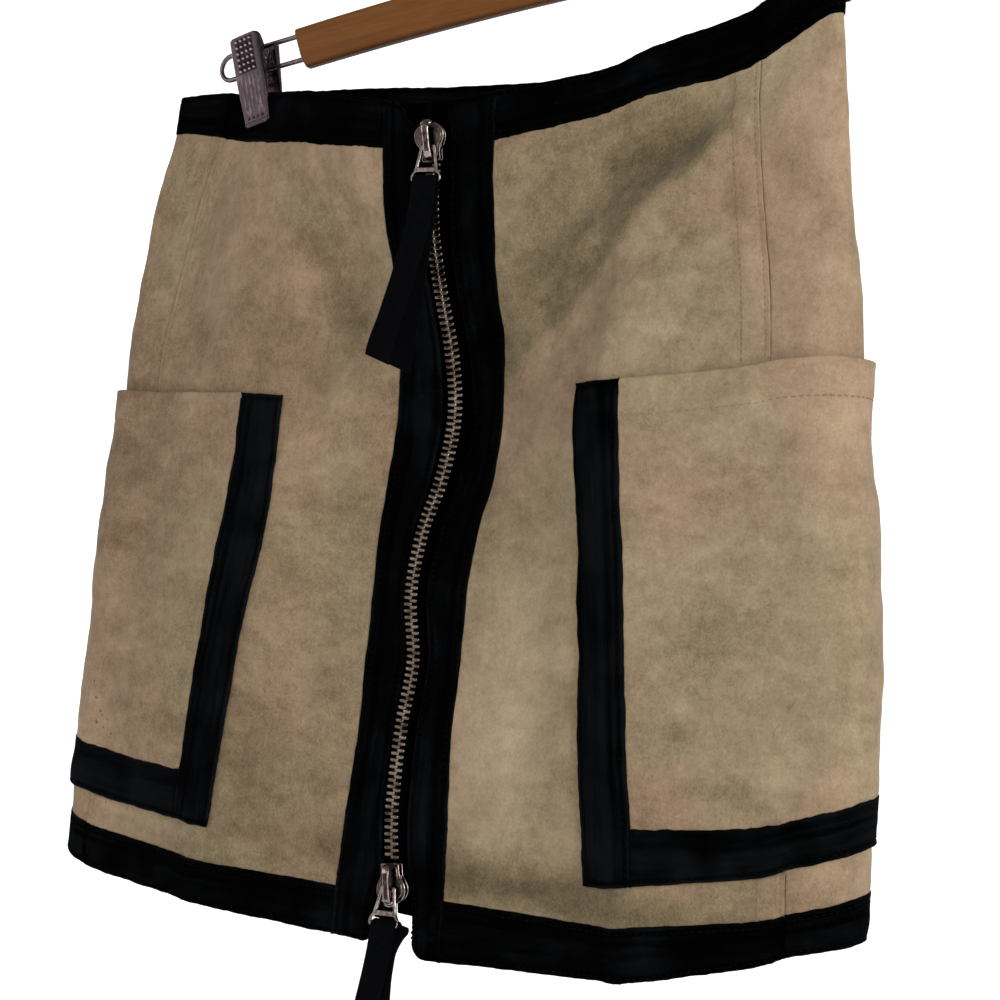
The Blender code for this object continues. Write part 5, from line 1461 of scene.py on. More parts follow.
def seam_runs():
    r = []
    for s_line, sign in ((5, -1), (-5, 1)):
        for d in SEAM_LINES:
            for v0, v1 in ((1.03, 1.985), (4.03, 4.97)):
                r.append(along_v(s_line, v0, v1, sign * d, -0.06))
    up = ON + SUEDE + 0.02
    for s0, s1, k in ((4.06, POCKET_BACK - 0.06, 1), (24 - POCKET_BACK + 0.06, 19.94, -1)):
        s = np.linspace(s0, s1, 160)
        v = 2 + HEM_IN / scale_v(s, np.full(160, 2.04))
        r.append(seat(s, v, up + puff(s, v, skirt(s, v)) - 0.05, False))
        v = np.linspace(2.02, 2.98, 90)
        edge = POCKET_BACK if k > 0 else 24 - POCKET_BACK
        s = edge - k * 2.2 / scale_s(np.full(90, edge - k * 0.03), v)
        r.append(seat(s, v, up + puff(s, v, skirt(s, v)) - 0.05, False))
    return r


sewn("stitches_on_suede", seam_runs(), THREAD_T, 3.3, 2.5, 0.25, "suede")

# ------------------------------------------------------------------ zip ----
def v_at(z):
    """Pattern v on the zip line at height z, mm."""
    zs = np.array([row[LEVEL_COLUMNS.index("zip")] for row in LEVELS.values()], float)
    return np.interp(-np.asarray(z, float), -zs, np.arange(len(zs)))


TAPE_IN = 0.6 - BAND - 0.35
for tag, sign in (("left", -1), ("right", 1)):
    lo, hi = sorted((sign * 0.06, sign * 1.5))
    S, V, D = lattice(lo, hi, 0, 5.48 if sign < 0 else 5.31, 1.3, 1.5, (0.15, 0.4, 0.9), (0.15, 0.4, 0.9), (0.15, 0.4), (0.15, 0.4))
    P, N = laid(S, V)
    near = np.abs(S) * SLOT_HALF
    cord = 0.0 * near
    ribs = 0.05 * np.sin(2 * math.pi * D["top"] / 1.5) * (near > 4.2)
    A = P + N * (TAPE_IN + ribs + cord)[..., None]
    B = P + N * (TAPE_IN - 0.7 + 0 * ribs)[..., None]
    o = shell("zip_tape_woven_" + tag, A, B, TAPE_M, uv_grid(P, "v"),
              {"rim": np.zeros(S.shape), "groove": np.zeros(S.shape),
               "worn": np.full(S.shape, -0.2)})
    ride(o, "zip_tape_" + tag, slot="zip_tape")


def zip_frame(z):
    """Point on the zip line and its side, up and out directions, mm."""
    v = v_at(z)
    n = len(v)
    p, _ = ground(np.zeros(n), v)
    up = skirt(np.zeros(n), v - 0.06) - skirt(np.zeros(n), v + 0.06)
    out = outward(np.full(n, -0.9), v) + outward(np.full(n, 0.9), v)
    up /= np.linalg.norm(up, axis=1, keepdims=True)
    out -= up * (out * up).sum(1, keepdims=True)
    out /= np.linalg.norm(out, axis=1, keepdims=True)
    return p, np.cross(up, out), up, out


def rounded_block(size, r, segs=2):
    bm = bmesh.new()
    bmesh.ops.create_cube(bm, size=1.0)
    bmesh.ops.scale(bm, vec=Vector(size), verts=bm.verts[:])
    bmesh.ops.bevel(bm, geom=bm.edges[:] + bm.verts[:], offset=r, segments=segs, profile=0.5, affect="EDGES",
                    clamp_overlap=True)
    bmesh.ops.triangulate(bm, faces=[f for f in bm.faces if len(f.verts) > 4])
    bmesh.ops.recalc_face_normals(bm, faces=bm.faces[:])
    bm.verts.ensure_lookup_table()
    co = np.array([v.co[:] for v in bm.verts])
    quads = np.array([[v.index for v in f.verts] for f in bm.faces if len(f.verts) == 4])
    tris = np.array([[v.index for v in f.verts] for f in bm.faces if len(f.verts) == 3])
    bm.free()
    return co, quads, tris.reshape(-1, 3)


TOOTH_PITCH = 3.13
TOOTH = (4.45, 1.95, 2.5)   # along the tooth, along the zip, through the cloth
TEETH_TOP, TEETH_LOW = -73.0, -409.0


def teeth():
    zs = np.linspace(TEETH_TOP, TEETH_LOW, 3000)
    p, side, up, out = zip_frame(zs)
    run = np.concatenate([[0], np.cumsum(np.linalg.norm(np.diff(p, axis=0), axis=1))])
    n = int(run[-1] / (TOOTH_PITCH / 2))
    at = (np.arange(n) + 0.5) * run[-1] / n

    def pick(a):
        return np.stack([np.interp(at, run, a[:, k]) for k in range(3)], 1)
    p, side, up, out = map(pick, (p, side, up, out))
    co, quads, tris = rounded_block(TOOTH, 0.62)
    # the head is lower and narrower than the clamped end, and slightly domed
    t = (co[:, 0] / TOOTH[0] + 0.5)
    co[:, 2] *= 0.74 + 0.26 * np.clip((t - 0.28) / 0.25, 0, 1)
    co[:, 1] *= 0.86 + 0.30 * np.clip(1 - np.abs(t - 0.12) / 0.2, 0, 1)
    sgn = np.where(np.arange(n) % 2 == 0, 1.0, -1.0)
    x = (co[:, 0] + TOOTH[0] / 2 - 0.65)[None, :] * sgn[:, None]
    base = TAPE_IN + 0.5 + 1.35
    world = (p[:, None, :] + side[:, None, :] * x[..., None]
             + up[:, None, :] * (co[:, 1][None, :] * sgn[:, None])[..., None]
             + out[:, None, :] * (co[:, 2] + base)[None, :, None])
    off = (np.arange(n) * len(co))[:, None, None]
    o = new_mesh("zip_teeth", place(world.reshape(-1, 3)), (quads[None] + off).reshape(-1, 4), mat=TEETH_M,
                 sharp=50, tris=(tris[None] + off).reshape(-1, 3))
    ride(o, "zip_chain", slot="zip_metal")


teeth()

# --------------------------------------------------- sliders, tabs, ribbons ----
TOP_SLIDER_Z, BOTTOM_SLIDER_Z = -62.5, -420.5
PLATE_T, BAIL_CLEAR, BAIL_T = 2.0, 3.6, 1.6
PIVOT_H = PLATE_T + BAIL_CLEAR / 2


def frame_at(z, lift):
    """Matrix of a part on the zip, as in the part: X across, Y up, Z out."""
    v = float(v_at(z))
    p = skirt([0.0], [v])[0]
    up = skirt([0.0], [v - 0.06])[0] - skirt([0.0], [v + 0.06])[0]
    out = outward(np.array([-0.9, 0.9]), np.array([v, v])).mean(0)
    up = up / np.linalg.norm(up)
    out = out - up * out.dot(up)
    out = out / np.linalg.norm(out)
    side = np.cross(up, out)
    p = place(p + out * lift)
    m = Matrix.Identity(4)
    for i in range(3):
        m[i][0], m[i][1], m[i][2], m[i][3] = side[i], up[i], out[i], p[i]
    return m


def slider_matrix(z, flip, lift, tip, lean):
    m = frame_at(z, lift)
    if flip:
        m = m @ Matrix.Rotation(math.pi, 4, "Z")
    foot = Matrix.Translation((0, -9.0 * MM, 0))
    return (m @ foot @ Matrix.Rotation(math.radians(tip), 4, "X")
            @ Matrix.Rotation(math.radians(lean), 4, "Z") @ foot.inverted())


TOP_M = slider_matrix(TOP_SLIDER_Z, False, 1.2, 9.0, 8.0)
BOTTOM_M = slider_matrix(BOTTOM_SLIDER_Z, True, 1.0, 0.0, 0.0)
TOP_PIVOT = TOP_M @ Matrix.Translation((0, -3.4 * MM, PIVOT_H * MM))
BOTTOM_PIVOT = BOTTOM_M @ Matrix.Translation((0, 1.6 * MM, PIVOT_H * MM)) @ Matrix.Rotation(math.pi, 4, "Z")
TOP_TAB = TOP_PIVOT @ Matrix.Rotation(math.radians(-8), 4, "X") @ Matrix.Rotation(math.radians(-8), 4, "Z")
BOTTOM_TAB = BOTTOM_PIVOT @ Matrix.Rotation(math.radians(-11), 4, "X") @ Matrix.Rotation(math.radians(-7), 4, "Z")


def link_mesh(name, bm, mat, matrix=None, sharp=40.0, flats=True):
    """Mesh from a bmesh in its own frame; the flats of its plates are marked
    with the attribute "flat" and shaded flat, its edges smoothly."""
    me = bpy.data.meshes.new(name)
    bmesh.ops.recalc_face_normals(bm, faces=bm.faces[:])
    bm.normal_update()
    level = [1.0 if flats and abs(f.normal.z) > 0.985 else 0.0 for f in bm.faces]
    bm.to_mesh(me)
    bm.free()
    if matrix is not None:
        me.transform(matrix)
    me.shade_smooth()
    me.set_sharp_from_angle(angle=math.radians(sharp))
    at = me.attributes.new("flat", "FLOAT", "FACE")
    at.data.foreach_set("value", np.array(level, np.float32))
    me.polygons.foreach_set("use_smooth", np.array([w < 0.5 for w in level]))
    me.materials.append(mat)
    o = bpy.data.objects.new(name, me)
    bpy.context.scene.collection.objects.link(o)
    return o


def plate(outline, holes, z0, z1, bevel, segs=2):
    """A stamped plate with eased edges, mm, as a bmesh in its own frame."""
    cu = bpy.data.curves.new("plate", "CURVE")
    cu.dimensions = "2D"
    cu.fill_mode = "BOTH"
    cu.extrude = (z1 - z0) / 2 - bevel
    cu.bevel_depth = bevel
    cu.bevel_resolution = segs
    cu.offset = -bevel
    for loop in [outline] + holes:
        sp = cu.splines.new("POLY")
        sp.points.add(len(loop) - 1)
        for q, (x, y) in zip(sp.points, loop):
            q.co = (x, y, 0, 1)
        sp.use_cyclic_u = True
    ob = bpy.data.objects.new("plate", cu)
    bpy.context.scene.collection.objects.link(ob)
    bpy.context.view_layer.update()
    me = bpy.data.meshes.new_from_object(ob.evaluated_get(bpy.context.evaluated_depsgraph_get()))
    bm = bmesh.new()
    bm.from_mesh(me)
    bmesh.ops.remove_doubles(bm, verts=bm.verts[:], dist=1e-4)
    bmesh.ops.translate(bm, vec=(0, 0, (z0 + z1) / 2), verts=bm.verts[:])
    bpy.data.objects.remove(ob, do_unlink=True)
    bpy.data.curves.remove(cu)
    bpy.data.meshes.remove(me)
    return bm


def strap(path, width, thick, bevel_n=3):
    """A rounded strap in the YZ plane: path is (y, z, width factor) rows."""
    pts = np.array([(y, z) for y, z, _ in path], float)
    wf = np.array([w for _, _, w in path], float)
    tan = np.gradient(pts, axis=0)
    tan /= np.linalg.norm(tan, axis=1, keepdims=True)
    nrm = np.stack([-tan[:, 1], tan[:, 0]], 1)
    n = 16
    a = np.arange(n) * 2 * math.pi / n
    ca, sa = np.cos(a), np.sin(a)
    x = np.sign(ca) * np.abs(ca) ** 0.5
    t = np.sign(sa) * np.abs(sa) ** 0.55
    co = []
    for k in range(len(pts)):
        for i in range(n):
            q = pts[k] + nrm[k] * t[i] * thick / 2
            co.append((x[i] * width / 2 * wf[k], q[0], q[1]))
    bm = bmesh.new()
    vs = [bm.verts.new(c) for c in co]
    for k in range(len(pts) - 1):
        for i in range(n):
            j = (i + 1) % n
            bm.faces.new((vs[k * n + i], vs[k * n + j], vs[(k + 1) * n + j], vs[(k + 1) * n + i]))
    bm.faces.new(vs[:n][::-1])
    bm.faces.new(vs[-n:])
    return bm


def merge(*bms):
    out = bmesh.new()
    for b in bms:
        me = bpy.data.meshes.new("tmp")
        b.to_mesh(me)
        b.free()
        out.from_mesh(me)
        bpy.data.meshes.remove(me)
    return out


def smooth_loop(points, n=3):
    """Chaikin-rounded closed outline."""
    p = np.array(points, float)
    for _ in range(n):
        q = np.roll(p, -1, axis=0)
        p = np.stack([p * 0.75 + q * 0.25, p * 0.25 + q * 0.75], 1).reshape(-1, 2)
    return [tuple(a) for a in p]


def oval(cx, cy, rx, ry, n=28, a0=0.0, a1=360.0):
    full = abs(a1 - a0) >= 360
    k = n if full else n + 1
    return [(cx + rx * math.cos(math.radians(a0 + (a1 - a0) * i / n)),
             cy + ry * math.sin(math.radians(a0 + (a1 - a0) * i / n))) for i in range(k)]


def slider_piece(name, matrix, node):
    # round at its wide end, with a narrow neck where the chain comes out
    shield = oval(0, 2.9, 7.75, 6.2, 36, 0, 180) + [(-7.7, 1.6), (-7.3, 0.0), (-6.5, -1.7), (-5.4, -3.4), (-4.95, -5.0),
             (-4.85, -9.4), (-4.4, -9.95), (4.4, -9.95), (4.85, -9.4), (4.95, -5.0), (5.4, -3.4), (6.5, -1.7),
             (7.3, 0.0), (7.7, 1.6)]
    top = plate(shield, [], 0.6, 2.05, 0.5, 4)
    # a raised rim step inside the edge, as stamped
    inner = [(x * 0.80, (y - 0.4) * 0.82 + 0.4) for x, y in shield]
    step = plate(inner, [], 1.9, 2.32, 0.16, 2)
    low_shield = [(x * 0.94, y * 0.96) for x, y in shield]
    low = plate(low_shield, [], -2.9, -1.9, 0.3, 2)
    post = plate(oval(0, 5.0, 2.0, 2.6, 20), [], -2.3, 1.0, 0.2, 1)
    flanges = []
    for k in (-1, 1):
        side = [(k * 6.2, 2.6), (k * 7.5, 2.2), (k * 6.3, -1.9), (k * 4.9, -5.0), (k * 4.8, -9.3), (k * 4.1, -9.3), (k * 4.2, -5.2), (k * 5.4, -2.0)]
        if k < 0:
            side = side[::-1]
        flanges.append(plate(side, [], -1.0, 1.1, 0.25, 2))
    t = PLATE_T + BAIL_CLEAR + BAIL_T / 2
    arc = [(8.2, 1.2, 1.0), (8.5, 2.6, 1.0), (8.35, 4.2, 1.0), (7.7, 5.5, 1.02), (6.6, t - 0.1, 1.03), (5.0, t + 0.05, 0.98),
           (2.5, t + 0.12, 0.92), (-0.5, t + 0.12, 0.90), (-3.5, t + 0.1, 0.92), (-5.8, t, 0.98), (-7.2, t - 0.5, 1.02),
           (-8.2, 5.2, 1.03), (-8.9, 4.0, 1.0), (-9.1, 2.6, 1.0), (-8.9, 1.2, 1.0)]
    dense = []
    ys = np.array([a[0] for a in arc]); zs = np.array([a[1] for a in arc]); ws = np.array([a[2] for a in arc])
    for u in np.linspace(0, len(arc) - 1, 46):
        i = np.arange(len(arc))
        dense.append((np.interp(u, i, ys), np.interp(u, i, zs), np.interp(u, i, ws)))
    d = np.array(dense)
    for _ in range(2):
        d[1:-1] = (d[:-2] + 2 * d[1:-1] + d[2:]) / 4
    bail = strap([tuple(r) for r in d], 3.7, BAIL_T)
    # the domed knob where the bail is riveted at the wide end
    knob = bmesh.new()
    bmesh.ops.create_uvsphere(knob, u_segments=24, v_segments=14, radius=1.0)
    bmesh.ops.scale(knob, vec=(3.4, 2.1, 2.9), verts=knob.verts[:])
    bmesh.ops.translate(knob, vec=(0, 8.0, 3.2), verts=knob.verts[:])
    bm = merge(top, step, low, post, bail, knob, *flanges)
    bmesh.ops.scale(bm, vec=(MM, MM, MM), verts=bm.verts[:])
    o = link_mesh(name, bm, SLIDER_M, matrix)
    ride(o, node, slot="slider_metal")


slider_piece("zip_slider_top", TOP_M, "slider_top")
slider_piece("zip_slider_bottom", BOTTOM_M, "slider_bottom")

TAB_OUT = ((-3.9, 1.1), (3.9, 1.1), (4.6, -3.0), (6.1, -11.0), (7.8, -13.9), (7.9, -16.0), (7.4, -17.0), (6.3, -17.25),
           (-6.3, -17.25), (-7.4, -17.0), (-7.9, -16.0), (-7.8, -13.9), (-6.1, -11.0), (-4.6, -3.0))
TAB_UP = ((-2.5, -1.1), (-4.5, -10.1), (4.5, -10.1), (2.5, -1.1))
TAB_LOW = ((-5.3, -12.4), (-6.65, -13.8), (-6.65, -15.4), (6.65, -15.4), (6.65, -13.8), (5.3, -12.4))


def round_corners(points, r, n=4):
    """Outline with each corner eased by a short arc of about radius r."""
    p = np.array(points, float)
    out = []
    for k in range(len(p)):
        a, b, c = p[k - 1], p[k], p[(k + 1) % len(p)]
        u, w = a - b, c - b
        lu, lw = np.linalg.norm(u), np.linalg.norm(w)
        t = min(r, lu * 0.45, lw * 0.45)
        q0, q1 = b + u / lu * t, b + w / lw * t
        for i in range(n + 1):
            f = i / n
            out.append(tuple((1 - f) ** 2 * q0 + 2 * f * (1 - f) * b + f * f * q1))
    return out


def tab_piece(name, matrix, node, body):
    bm = plate(round_corners(TAB_OUT, 0.9), [round_corners(TAB_UP, 0.6)[::-1], round_corners(TAB_LOW, 0.5)[::-1]],
               -0.85, 0.85, 0.42, 4)
    bmesh.ops.scale(bm, vec=(MM, MM, MM), verts=bm.verts[:])
    o = link_mesh(name, bm, TAB_M, matrix)
    ride(o, node, slot="slider_metal", body=body)


tab_piece("puller_top", TOP_TAB, "pull_tab_top", "top_pull")
tab_piece("puller_bottom", BOTTOM_TAB, "pull_tab_bottom", "bottom_pull")

# Ribbon pulls: distance below the bar, how far the front and back layers lie
# out of the skirt, how far each has slipped sideways, and half widths, mm.
RIBBON_COLUMNS = ("down", "front", "back", "front_x", "back_x")
RIBBON_TOP = (
    (0, 2.05, -2.05, 0, 0), (5, 1.9, -1.9, -0.1, 0.1), (12, 1.1, -1.0, -0.3, 0.3), (20, 1.2, -0.9, -0.5, 0.5),
    (40, 4.5, -0.9, -1.4, 0.2), (70, 11.0, -0.4, -3.6, -0.4), (92, 16.0, 0.2, -5.3, -1.2))
RIBBON_BOTTOM = (
    (0, 2.05, -2.05, 0.7, 2.6), (1.2, 2.05, -5.0, 0.7, 4.0), (3, 2.0, -5.8, 0.5, 4.2), (7, 1.6, -4.4, -0.2, 2.0), (12, 1.1, -2.4, -1.2, 0.2),
    (20, 1.2, -1.0, -2.6, -0.6), (40, 3.0, -1.6, -6.0, -2.0), (70, 7.0, -2.8, -9.6, -3.6), (92, 11.0, -4.0, -11.6, -4.6))
RIBBON_W, RIBBON_T, RIBBON_EYE = 13.0, 1.0, 1.55


def ribbon_frame(tab, hang):
    bar = tab @ Vector((0, -16.3 * MM, 0))
    side = (tab.to_3x3() @ Vector((1, 0, 0))).normalized()
    up = Vector(hang).normalized() * -1
    up = (up - side * up.dot(side)).normalized()
    out = side.cross(up) * -1
    if out.y > 0:
        out = -out
    return np.array(bar), np.array(side), np.array(up), np.array(out)


def ribbon_piece(name, rows, tab, hang, node, body, slant):
    """One tape, doubled round the tab's foot bar: up the back, down the front."""
    bar, side, up, out = ribbon_frame(tab, hang)
    rows = np.array(rows, float)
    long = np.concatenate([np.linspace(0, 6, 9)[1:], np.linspace(6, rows[-1, 0], 66)[1:]])
    f, b, fx, bx = (hermite(rows[:, 0], rows[:, k], long) for k in (1, 2, 3, 4))
    arc = np.radians(np.linspace(0, 180, 15))
    r = RIBBON_EYE + RIBBON_T / 2
    # centreline: (outward, up, sideways)
    back = np.stack([b, -long, bx], 1)[::-1]
    loop = np.stack([-r * np.cos(arc), r * np.sin(arc), rows[0, 4] + (rows[0, 3] - rows[0, 4]) * arc / math.pi], 1)
    fore = np.stack([f, -long, fx], 1)
    mid = np.concatenate([back, loop, fore])
    tan = np.gradient(mid[:, :2], axis=0)
    tan /= np.linalg.norm(tan, axis=1, keepdims=True)
    nrm = np.stack([-tan[:, 1], tan[:, 0]], 1)     # out of the doubled tape
    n_w = 37
    w = np.linspace(-0.5, 0.5, n_w) * RIBBON_W
    # eleven flat ribs, with narrow valleys between, and plain selvedges
    rib = 0.11 * np.abs(np.cos(w / RIBBON_W * math.pi * 9.0)) ** 0.35
    rib = np.where(np.abs(w) > RIBBON_W * 0.46, 0.05, rib)
    half = RIBBON_T / 2 - 0.12
    edge = rounded(RIBBON_W / 2 - np.abs(w), 0.35)
    L = len(mid)
    run = np.concatenate([[0], np.cumsum(np.linalg.norm(np.diff(mid, axis=0), axis=1))])
    # soft cupping, a slight twist, and a cut end that runs at a slant
    t_end = np.minimum(run, run[-1] - run)
    cup = 0.55 * np.sin(run * 0.045 + 0.6)
    A = np.zeros((n_w, L, 3))
    B = np.zeros((n_w, L, 3))
    for i in range(n_w):
        bend = cup * (1 - (2 * w[i] / RIBBON_W) ** 2) * np.clip(t_end * 0 + np.abs(run - run[-1] / 2) / 12 - 0.6, 0, 1)
        lag = np.clip(1 - t_end / 18.0, 0, 1) * slant * (w[i] / RIBBON_W + 0.5)
        for sgn, G in ((1, A), (-1, B)):
            h = half + rib[i] - edge[i] * 0.8
            q = mid[:, :2] + nrm * (sgn * h + bend)[:, None]
            y = q[:, 1] + lag
            pos = (bar[None, :] + (out[None, :] * q[:, :1] + up[None, :] * y[:, None]
                   + side[None, :] * (w[i] + mid[:, 2])[:, None]) * MM)
            G[i] = pos
    U = np.stack(np.meshgrid(w * MM, run * MM, indexing="ij"), -1)
    co = np.concatenate([A.reshape(-1, 3), B.reshape(-1, 3)])
    o = new_mesh(name, co, shell_faces(n_w, L), np.concatenate([U.reshape(-1, 2)] * 2), None, RIBBON_M, 50)
    ride(o, node, slot="ribbon", body=body)
    # the row of stitches that closes the loop under the bar
    runs = []
    for d in (9.0, 10.6):
        k = np.interp(d, long, np.arange(len(long)))
        fo = np.interp(d, long, f)
        xo = np.interp(d, long, fx)
        ww = np.linspace(-RIBBON_W / 2 + 0.7, RIBBON_W / 2 - 0.7, 14)
        pts = np.array([bar + (out * (fo + RIBBON_T / 2 + 0.02) + up * (-d) + side * (x + xo)) * MM for x in ww])
        runs.append((pts / MM, np.repeat(out[None], len(ww), 0)))
    cos, qs, total = [], [], 0
    for p, n in runs:
        c, q = stitches(p, n, 2.1, 1.6, 0.2, sink=0.15)
        cos.append(c * MM)
        qs.append(q + total)
        total += len(c)
    st = new_mesh(name + "_stitches", np.concatenate(cos), np.concatenate(qs), mat=THREAD_B, sharp=60)
    ride(st, slot="ribbon", body=body)


ribbon_piece("ribbon_pull_top", RIBBON_TOP, TOP_TAB, (-0.125, -0.15, -1), "ribbon_top", "top_pull", -5.0)
ribbon_piece("ribbon_pull_bottom", RIBBON_BOTTOM, BOTTOM_TAB, (-0.12, -0.03, -1), "ribbon_bottom", "bottom_pull", -4.0)

# --------------------------------------------------------------- the hanger ----
TILT = Matrix.Translation(place(BAR_MID)) @ Matrix.Rotation(math.radians(-BAR_TILT), 4, "Y")


def arch(x):
    return BAR_ARCH * (1 - (2 * x / BAR_LEN) ** 2) - BAR_ARCH


def bar_piece():
    """Rounded wooden bar: a soft rectangle swept along its slight arch."""
    n = 32
    a = (np.arange(n) + 0.5) * 2 * math.pi / n
    k = 0.30
    cx = np.sign(np.cos(a)) * np.abs(np.cos(a)) ** k * BAR_T / 2
    cz = np.sign(np.sin(a)) * np.abs(np.sin(a)) ** k * BAR_H / 2 * 1.15
    # its lower edge is planed narrower
    cx = cx * (1 - 0.5 * np.clip((-cz / (BAR_H / 2) - 0.45) / 0.7, 0, 1) ** 1.5)
    stations = np.concatenate([[-1.0, -0.9995, -0.998, -0.995, -0.99], np.linspace(-0.975, 0.975, 60),
                               [0.99, 0.995, 0.998, 0.9995, 1.0]])
    co = []
    for t in stations:
        x = t * BAR_LEN / 2
        near = (1 - abs(t)) * BAR_LEN / 2
        shrink = rounded(np.array([near]), 1.1)[0]
        for y, z in zip(cx, cz):
            zz = z - math.copysign(min(shrink, abs(z)), z)
            yy = y - math.copysign(min(shrink, abs(y)), y)
            lean = BAR_SLANT * zz / (BAR_H / 2) * t
            co.append((x + lean, yy, arch(x) + zz))
    m = len(stations)
    quads = []
    for i in range(m - 1):
        for j in range(n):
            q = (j + 1) % n
            quads.append((i * n + j, i * n + q, (i + 1) * n + q, (i + 1) * n + j))
    co = np.array(co)
    caps = []
    for base in (0, (m - 1) * n):
        c = len(co)
        co = np.concatenate([co, co[base:base + n].mean(0)[None]])
        for j in range(n):
            t = (base + j, c, base + (j + 1) % n)
            caps.append(t if base == 0 else t[::-1])
    R = np.array(TILT)
    world = (co * MM) @ R[:3, :3].T + R[:3, 3]
    o = new_mesh("wooden_bar", world, np.array(quads), mat=WOOD_M, sharp=50, tris=np.array(caps))
    # the bar's underside, which gets a painted shade
    under = np.concatenate([np.tile(np.clip((-cz / (BAR_H / 2) - 0.95) / 0.15, 0, 1), m), [0.0, 0.0]])
    at = o.data.attributes.new("under", "FLOAT", "POINT")
    at.data.foreach_set("value", under.astype(np.float32))
    ride(o, "hanger_bar", slot="wood")


bar_piece()


def tube(name, pts, radius, mat, matrix, node=None, slot="wire_metal", n=12, cyclic=False):
    """A round wire along points in mm, as a mesh with rounded ends."""
    p = np.array(pts, float)
    tan = np.gradient(p, axis=0)
    tan /= np.linalg.norm(tan, axis=1, keepdims=True)
    ref = np.array([0.0, 1.0, 0.0])
    co = []
    a = np.arange(n) * 2 * math.pi / n
    for k in range(len(p)):
        u = ref - tan[k] * ref.dot(tan[k])
        u /= np.linalg.norm(u)
        w = np.cross(tan[k], u)
        ref = u
        r = radius * (0.62 if k in (0, len(p) - 1) else 1.0)
        co.append(p[k] + r * (np.cos(a)[:, None] * u + np.sin(a)[:, None] * w))
    L = len(p)
    co = np.concatenate(co)
    quads, tris = [], []
    for k in range(L - 1):
        for j in range(n):
            q = (j + 1) % n
            quads.append((k * n + j, k * n + q, (k + 1) * n + q, (k + 1) * n + j))
    for base, end, sgn in ((0, p[0] - tan[0] * radius * 0.25, 1), ((L - 1) * n, p[-1] + tan[-1] * radius * 0.25, -1)):
        c = len(co)
        co = np.concatenate([co, end[None]])
        for j in range(n):
            t = (base + (j + 1) % n, base + j, c)
            tris.append(t if sgn > 0 else t[::-1])
    M = np.array(matrix)
    world = (co * MM) @ M[:3, :3].T + M[:3, 3]
    o = new_mesh(name, world, np.array(quads), mat=mat, sharp=60, tris=np.array(tris))
    ride(o, *([node] if node else []), slot=slot)
    return o


def eased(path, n):
    """Points spaced evenly on a smooth curve through a path."""
    p = np.array(path, float)
    run = np.concatenate([[0], np.cumsum(np.linalg.norm(np.diff(p, axis=0), axis=1))])
    t = np.linspace(0, run[-1], n)
    out = np.stack([np.interp(t, run, p[:, k]) for k in range(3)], 1)
    for _ in range(3):
        out[1:-1] = (out[:-2] + 2 * out[1:-1] + out[2:]) / 4
    return out


def hook_points():
    z0 = BAR_H / 2 + 0.3
    zc = BAR_H / 2 + HOOK_NECK
    pts = [(0, 0, z0), (0, 0, z0 + 6), (0, 0, z0 + 12)]
    a0 = -62.0
    start = (HOOK_BEND * math.cos(math.radians(a0)), zc + HOOK_BEND * math.sin(math.radians(a0)))
    for k in range(1, 4):
        t = k / 4
        e = t * t * (3 - 2 * t)
        pts.append((start[0] * e * 0.9, 0, z0 + 12 + (start[1] - z0 - 12) * t))
    for k in range(41):
        a = math.radians(a0 + (205.0 - a0) * k / 40)
        pts.append((HOOK_BEND * math.cos(a), 0, zc + HOOK_BEND * math.sin(a)))
    return pts


tube("hook_wire", eased(hook_points(), 90), HOOK_R, WIRE_M, TILT, "hanger_hook", n=16)


def loop_points(side, reach, slope):
    x0 = BAR_LEN / 2
    h = WIRE_SPACE / 2
    z0 = arch(BAR_LEN / 2) + WIRE_RISE
    ends = [x0 + BAR_SLANT * (WIRE_RISE + k * h) / (BAR_H / 2) - 3.0 for k in (1, -1)]
    far = x0 + reach - h
    pts = [(ends[0] + (far - ends[0]) * t, h) for t in np.linspace(0, 1, 14)]
    pts += [(far + h * math.sin(a), h * math.cos(a)) for a in np.radians(np.arange(9, 180, 9))]
    pts += [(ends[1] + (far - ends[1]) * t, -h) for t in np.linspace(1, 0, 14)]
    return [(side * x, 0.0, z0 + z + slope * (x - x0)) for x, z in pts]


tube("sliding_wire_left", loop_points(-1, 56.0, -0.03), WIRE_R, WIRE_M, TILT, "clip_wire_left")
tube("sliding_wire_right", loop_points(1, 66.0, 0.02), WIRE_R, WIRE_M, TILT, "clip_wire_right")


def grip_of(face, x, low):
    ss = np.linspace(-6, 6, 121) if face < 0 else np.linspace(6, 18, 121)
    S, V = np.meshgrid(ss, np.linspace(0, 1.2, 13), indexing="ij")
    p = skirt(S.ravel(), V.ravel())
    under = (np.abs(p[:, 0] - x) < CLIP_W / 2 + 3) & (p[:, 2] > low - 3)
    return float(np.abs(p[under, 1]).max()) + 0.5 + 0.35


def jaw_matrix(face, m, grip):
    low = CLIP_LEN - CLIP_UP
    lean = math.radians(CLIP_LEAN)
    turn = Matrix.Rotation(math.pi, 4, "Z") if face > 0 else Matrix.Identity(4)
    off = grip + 0.8 + 0.35 + low * math.tan(lean)
    return m @ turn @ Matrix.Translation((0, -off * MM, 0)) @ Matrix.Rotation(lean, 4, "X")


# Bumps and ribs pressed into a jaw, mm: columns and rows of bumps from the
# top down, then ribs down to the nicks above the foot
BUMP_X, BUMP_Z, BUMP_ROWS, BUMP_TOP = 3.0, 3.3, 6, 9.2
RIB_X, NICK_UP = 2.6, 4.6


